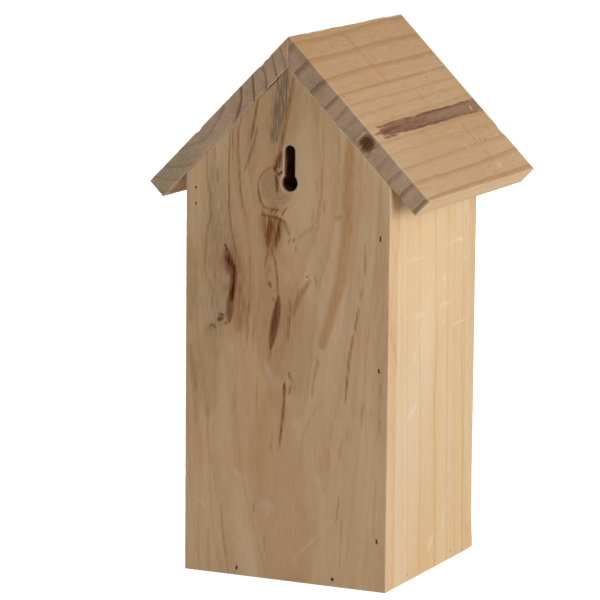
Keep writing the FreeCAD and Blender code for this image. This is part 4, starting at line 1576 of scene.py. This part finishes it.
@dataclass
class NestBox:
    """The whole box: its five boards of wall, floor and door, and its two roof boards.

    Attributes:
        brad_shapes, back_shapes, foot_shapes, small_shapes: Half width, half height and turn of brad sockets.
        brad_sunk: How deep brads and nails are sunk.
        nail_half: The half width of a nail's socket.
        entrance, entrance_height: The birds' entrance.
        key_round, key_slot, key_top, key_worn: The keyhole's bore, its slot, the slot's top, and its wear.
        stray_nail: A nail mark on the back, as a and b.
        streak_zone: Where the roof's resin streak lies along a.
        boards: The boards, once they are listed.
    """

    brad_shapes: tuple[Triple, ...] = ((0.5, 1.3, 0.0), (0.55, 1.2, 6.0), (0.5, 1.3, -5.0))
    back_shapes: tuple[Triple, ...] = ((0.55, 1.25, 20.0), (0.55, 1.25, 28.0), (0.45, 1.4, 0.0))
    foot_shapes: tuple[Triple, ...] = ((0.6, 1.1, -28.0), (0.9, 0.75, 20.0))
    small_shapes: tuple[Triple, ...] = ((0.45, 0.6, 0.0),)
    brad_sunk: float = 0.95
    nail_half: float = 0.6
    entrance: float = 32.0
    entrance_height: float = 172.0
    key_round: float = 9.0
    key_slot: float = 6.0
    key_top: float = 248.0
    key_worn: float = 0.35
    stray_nail: Pair = (-57.0, 221.0)
    streak_zone: Pair = (64.0, 80.0)
    boards: list[Board] = field(default_factory=list)

    def brad_holes(
        self, seat: Seat, nodes: tuple[str, ...], shapes: tuple[Triple, ...] = (), dark: float = 0.85
    ) -> tuple[Hole, ...]:
        """Makes the small sockets that sunk brads leave.

        Args:
            seat: The board.
            nodes: The brads driven into it.
            shapes: Half width, half height and turn of each socket, used in order and again from the first.
            dark: How much shade is painted inside the sockets.

        Returns:
            The holes.
        """
        spots = [spot for node in nodes for spot in head_places(node, seat)]
        shapes = shapes or self.brad_shapes
        cycle = [shapes[i % len(shapes)] for i in range(len(spots))]
        return tuple(
            Hole(a, b, half_a, half_b, self.brad_sunk, 3.2, 0.22, turn, dark=dark)
            for (a, b), (half_a, half_b, turn) in zip(spots, cycle)
        )

    def nail_holes(self, seat: Seat, node: str) -> tuple[Hole, ...]:
        """Makes the socket of a pivot nail, with painted shade inside."""
        half, spots = self.nail_half, head_places(node, seat)
        return tuple(Hole(a, b, half, half, self.brad_sunk, 2.0, 0.2, dark=0.5) for a, b in spots)

    def back(self) -> GablePanel:
        """The back panel, which hangs on its keyhole."""
        low, high = node_box("back_panel")
        seat = Seat((0.0, high[1], 0.0), (-1.0, 0.0, 0.0), (0.0, 0.0, 1.0), (0.0, 1.0, 0.0))
        wall = high[1] - low[1]
        bore = next(m for m in frame["record"]["mounts"] if m["name"] == "keyhole")
        key_a, key_b = -bore["pos_m"][0] / MM - self.key_worn, bore["pos_m"][2] / MM
        long = (self.key_top - self.key_slot / 2 - key_b) / 2
        big, small = self.key_round / 2 + self.key_worn, self.key_slot / 2 + self.key_worn
        # the keyhole's bore gets nearly full painted shade on its walls inside
        worn = {"power": 2.0, "through": True, "dark": 0.97}
        holes = (
            Hole(key_a, key_b, big, big, wall, flare=0.95, **worn),
            Hole(key_a, key_b + long, small, small, wall, flare=0.8, straight=long, **worn),
            *self.brad_holes(seat, ("back_brads_fixed_side",), self.back_shapes),
            *self.brad_holes(seat, ("back_brads_floor",), self.foot_shapes),
            *self.nail_holes(seat, "door_pivot_nail_back"),
            Hole(*self.stray_nail, self.nail_half, 0.7, 1.2, 3.2, 0.22, 5.0, dark=0.5),
        )
        knots = (
            Knot(-6.3, 225.5, 11.0, 1.08, 1.9),
            Knot(-35.4, 171.0, 5.0, 4.0, shown=False),
            Knot(-9.2, 168.0, 3.4, 5.0, shown=False),
            Knot(21.9, 61.8, 4.0, 1.5, shown=False),
        )
        timber = Timber((-3.0, -44.0), 7.6, (0.01, 0.13), 3.0, 11, knots)
        pine = {"spring": "#E7C7A1", "warm": "#DEB78C", "summer": "#BE8A5E"}
        finish = PlanedPine(**pine, marks=BACK_MARKS, lines=0.25, sharp=0.4, fibre=0.21, canals=0.22)
        dents = (Dent((-9.0, 283.0, -6.0), (0.0, -0.9, 0.0), (8.0, 7.0, 40.0)),)
        across, along = (-high[0], high[0]), (low[2], high[2])
        zones = {"fine_across": (-42.0, 4.0), "fine_along": (0.5, 0.88)}
        ways = {"holes": holes, "dents": dents, **zones}
        return GablePanel("back_panel", Body.BOX, seat, across, along, wall, timber, finish, **ways)

    def front(self) -> GablePanel:
        """The front panel, with the birds' entrance."""
        low, high = node_box("front_panel")
        seat = Seat((0.0, low[1], 0.0), (1.0, 0.0, 0.0), (0.0, 0.0, 1.0), (0.0, -1.0, 0.0))
        wall, half = high[1] - low[1], self.entrance / 2
        holes = (
            Hole(0.0, self.entrance_height, half, half, wall, 2.0, 1.1, through=True, dark=0.2),
            *self.brad_holes(seat, ("front_brads_fixed_side", "front_brads_floor")),
            *self.nail_holes(seat, "door_pivot_nail_front"),
        )
        knots = (Knot(-34.0, 88.0, 6.5, 1.25, 1.4), Knot(26.0, 226.0, 4.5, 1.3, 1.2))
        timber = Timber((8.0, 30.0), 6.0, (-0.02, -0.06), 2.0, 23, knots)
        finish = PlanedPine(marks=FRONT_MARKS, lines=0.4)
        across, along = (-high[0], high[0]), (low[2], high[2])
        ways = {"holes": holes, "dents": (Dent((-63.0, 0.0, 0.0), (-0.8, 0.9, 0.5), (9.0, 14.0, 9.0)),)}
        return GablePanel("front_panel", Body.BOX, seat, across, along, wall, timber, finish, **ways)

    def fixed_side(self) -> SideBoard:
        """The nailed side."""
        low, high = node_box("fixed_side_panel")
        seat = Seat((low[0], high[1], 0.0), (0.0, -1.0, 0.0), (0.0, 0.0, 1.0), (-1.0, 0.0, 0.0))
        rings = tuple(a + 203.6 for a in (-3.0, 8.5, 16.5, 34.5, 56.5, 73.5, 83.5, 95.0))
        dense = (0.6, 0.35, 0.55, 0.7, 1, 0.7, 0.7, 0.9)
        timber = Timber((-200.0, -20.0), 9.0, (-0.03, 0.0), 1.0, 31, (), 0.05, rings, dense)
        pine = {"spring": "#E1C8A4", "warm": "#DEBF93", "summer": "#CE9A50"}
        finish = PlanedPine(**pine, marks=SIDE_MARKS, lines=0.42, sharp=0.72, fibre=0.12, canals=0.08)
        across, along, wall = (0.0, high[1] - low[1]), (low[2], high[2]), high[0] - low[0]
        holes = self.brad_holes(seat, ("side_brads_floor",), self.small_shapes, 0.25)
        return SideBoard("fixed_side_panel", Body.BOX, seat, across, along, wall, timber, finish, holes=holes)

    def door(self) -> SideBoard:
        """The side that swings out for cleaning."""
        low, high = node_box("clean_out_door")
        seat = Seat((high[0], low[1], 0.0), (0.0, 1.0, 0.0), (0.0, 0.0, 1.0), (1.0, 0.0, 0.0))
        timber = Timber((150.0, -30.0), 6.6, (0.02, 0.0), 1.6, 43, (Knot(30.0, 140.0, 5.0, 1.3, 1.3),))
        finish = PlanedPine(marks=DOOR_MARKS, lines=0.5)
        across, along, wall = (0.0, high[1] - low[1]), (low[2], high[2]), high[0] - low[0]
        return SideBoard("clean_out_door", Body.DOOR, seat, across, along, wall, timber, finish)

    def floor(self) -> FloorBoard:
        """The floor, seen from below."""
        low, high = node_box("floor_board")
        seat = Seat((0.0, high[1], low[2]), (1.0, 0.0, 0.0), (0.0, -1.0, 0.0), (0.0, 0.0, -1.0))
        timber = Timber((10.0, 40.0), 5.6, (0.0, 0.05), 1.6, 57)
        finish = PlanedPine(marks=FLOOR_MARKS, lines=0.5)
        across, along, wall = (low[0], high[0]), (0.0, high[1] - low[1]), high[2] - low[2]
        return FloorBoard("floor_board", Body.BOX, seat, across, along, wall, timber, finish)

    def roof(
        self, where: str, side: float, timber: Timber, finish: PlanedPine, dents: tuple[Dent, ...]
    ) -> RoofBoard:
        """One roof board.

        Args:
            where: Which side of the box it covers, as its CAD nodes call it.
            side: -1 for the nailed side, 1 for the door side.
            timber: How it was sawn.
            finish: How it looks.
            dents: Its knocks.

        Returns:
            The board.
        """
        node = f"roof_board_{where}"
        low, high = node_box(node)
        slope = (high[0] - low[0]) / math.cos(PITCH)
        thickness = (high[2] - node_box("back_panel")[1][2]) * math.cos(PITCH)
        down = (side * math.cos(PITCH), 0.0, -math.sin(PITCH))
        out = (side * math.sin(PITCH), 0.0, math.cos(PITCH))
        seat = Seat((0.0, high[1] if side < 0 else low[1], high[2]), down, (0.0, side, 0.0), out)
        brads = (f"roof_brads_back_{where}", f"roof_brads_front_{where}")
        holes = self.brad_holes(seat, brads, self.small_shapes, 0.4)
        across, along = (0.0, slope), (0.0, high[1] - low[1])
        zones = {"fine_across": self.streak_zone, "fine_along": (0.0, 1.0)}
        ways = {"ease": 0.35, "holes": holes, "dents": dents, **zones}
        return RoofBoard(node, Body.BOX, seat, across, along, thickness, timber, finish, **ways)

    def assemble(self) -> None:
        """Lists the boards."""
        pine = {"spring": "#D2AF87", "warm": "#CAA47A", "summer": "#A87C54"}
        near_pine = PlanedPine(
            **pine, marks=NEAR_ROOF_MARKS, lines=0.55, sharp=0.6, end_lines=0.65, fibre=0.28, canals=0.25
        )
        far_pine = PlanedPine(**pine, marks=FAR_ROOF_MARKS, lines=0.6, end_lines=0.85, sharp=0.7, fibre=0.3)
        near_log = Timber((366.0, -6.0), 11.2, (-0.018, 0.0), 1.0, 61, (), 0.04, *NEAR_ROOF_LOG)
        far_log = Timber((75.0, 29.0), 7.3, (0.0, 0.0), 1.0, 71, (), 0.08, *FAR_ROOF_LOG)
        near = self.roof("fixed_side", -1.0, near_log, near_pine, NEAR_ROOF_DENTS)
        far = self.roof("door_side", 1.0, far_log, far_pine, FAR_ROOF_DENTS)
        self.boards = [self.back(), self.front(), self.fixed_side(), self.door(), self.floor(), near, far]


@dataclass
class Studio:
    """A white floor, a large soft light at the right, a weaker one behind and even light from all round."""

    eye: Triple = (-877.7, 1918.26, 511.99)
    ahead: Triple = (0.42072, -0.89124, -0.1694)
    right: Triple = (-0.9036, -0.42828, 0.00908)
    lens: float = 222.26
    sensor: float = 36.0
    clip: Pair = (0.05, 50.0)
    ambient: float = 0.347
    lamp_size: float = 1300.0
    lamp_aim: Triple = (0.0, 0.0, 150.0)
    lamps: tuple[tuple[str, float, Triple], ...] = (
        ("key_softbox", 18.5, (-1500.0, 350.0, 330.0)),
        ("rear_softbox", 9.0, (1150.0, -1250.0, 620.0)),
    )
    floor_half: float = 3000.0
    floor_glow: float = 0.8

    def camera(self) -> None:
        """Sets the camera at the photograph's viewing angle."""
        data = bpy.data.cameras.new("photo_camera")
        data.lens, data.sensor_width, data.sensor_fit = self.lens, self.sensor, "HORIZONTAL"
        data.clip_start, data.clip_end = self.clip
        camera = bpy.data.objects.new("photo_camera", data)
        ahead, right = Vector(self.ahead).normalized(), Vector(self.right)
        right = (right - ahead * right.dot(ahead)).normalized()
        turn = Matrix((right, right.cross(ahead), -ahead)).transposed().to_4x4()
        camera.matrix_world = Matrix.Translation(Vector(self.eye) * MM) @ turn
        bpy.context.scene.collection.objects.link(camera)
        bpy.context.scene.camera = camera

    def seen(self, tree: Tree) -> Socket:
        """Adds what tells a direct, glossy or transmitted look from light that only bounces."""
        path, most = add_node(tree, "LightPath").node.outputs, {"operation": "MAXIMUM"}
        first = add_node(tree, "Math", {0: path["Is Camera Ray"], 1: path["Is Glossy Ray"]}, **most)
        return add_node(tree, "Math", {0: first, 1: path["Is Transmission Ray"]}, **most)

    def light(self) -> None:
        """Sets the even light and the two soft lights."""
        world = bpy.data.worlds.new("white_room")
        world.use_nodes = True
        tree = world.node_tree
        tree.nodes.clear()
        level = {"Value": self.seen(tree), "To Min": self.ambient, "To Max": 1.0}
        glow = {"Color": linear("#FFFFFF"), "Strength": add_node(tree, "MapRange", level)}
        add_node(tree, "OutputWorld", {"Surface": add_node(tree, "Background", glow)})
        bpy.context.scene.world = world
        for name, power, place in self.lamps:
            data = bpy.data.lights.new(name, "AREA")
            data.shape, data.size, data.energy = "DISK", self.lamp_size * MM, power
            lamp = bpy.data.objects.new(name, data)
            lamp.location = Vector(place) * MM
            aim = Vector(self.lamp_aim) * MM - lamp.location
            lamp.rotation_euler = aim.to_track_quat("-Z", "Y").to_euler()
            bpy.context.scene.collection.objects.link(lamp)

    def floor(self) -> None:
        """Lays a white floor that keeps a faint shadow of the box."""
        half = self.floor_half * MM
        mesh = bpy.data.meshes.new("studio_floor")
        corners = [(-half, -half, 0), (half, -half, 0), (half, half, 0), (-half, half, 0)]
        mesh.from_pydata(corners, [], [(0, 1, 2, 3)])
        sweep = bpy.data.objects.new("studio_floor", mesh)
        bpy.context.scene.collection.objects.link(sweep)
        material = blank_material("white_paper")
        tree = material.node_tree
        paper = add_node(tree, "BsdfDiffuse", {"Color": linear("#E6E6E6")})
        glow = add_node(tree, "Emission", {"Color": linear("#FFFFFF"), "Strength": self.floor_glow})
        both = add_node(tree, "AddShader", {0: paper, 1: glow})
        look = add_node(tree, "MixShader", {0: self.seen(tree), 1: paper, 2: both})
        add_node(tree, "OutputMaterial", {"Surface": look})
        mesh.materials.append(material)

    def build(self) -> None:
        """Sets up camera, light and floor."""
        bpy.context.scene.view_settings.view_transform = "Standard"
        self.camera()
        self.light()
        self.floor()


def main() -> None:
    """Builds the studio, the boards, the hook and the fastenings, and logs each piece's face count."""
    logging.basicConfig(level=logging.INFO, format="%(name)s: %(message)s")
    Studio().build()
    box = NestBox()
    box.assemble()
    for maker in [*box.boards, LatchHook()]:
        piece = maker.build()
        maker.dress(piece)
        LOG.info("%s: %d faces", piece.name, len(piece.data.polygons))
    LOG.info("steel on %s", ", ".join(Fastenings().dress()))


if __name__ == "__main__":
    main()
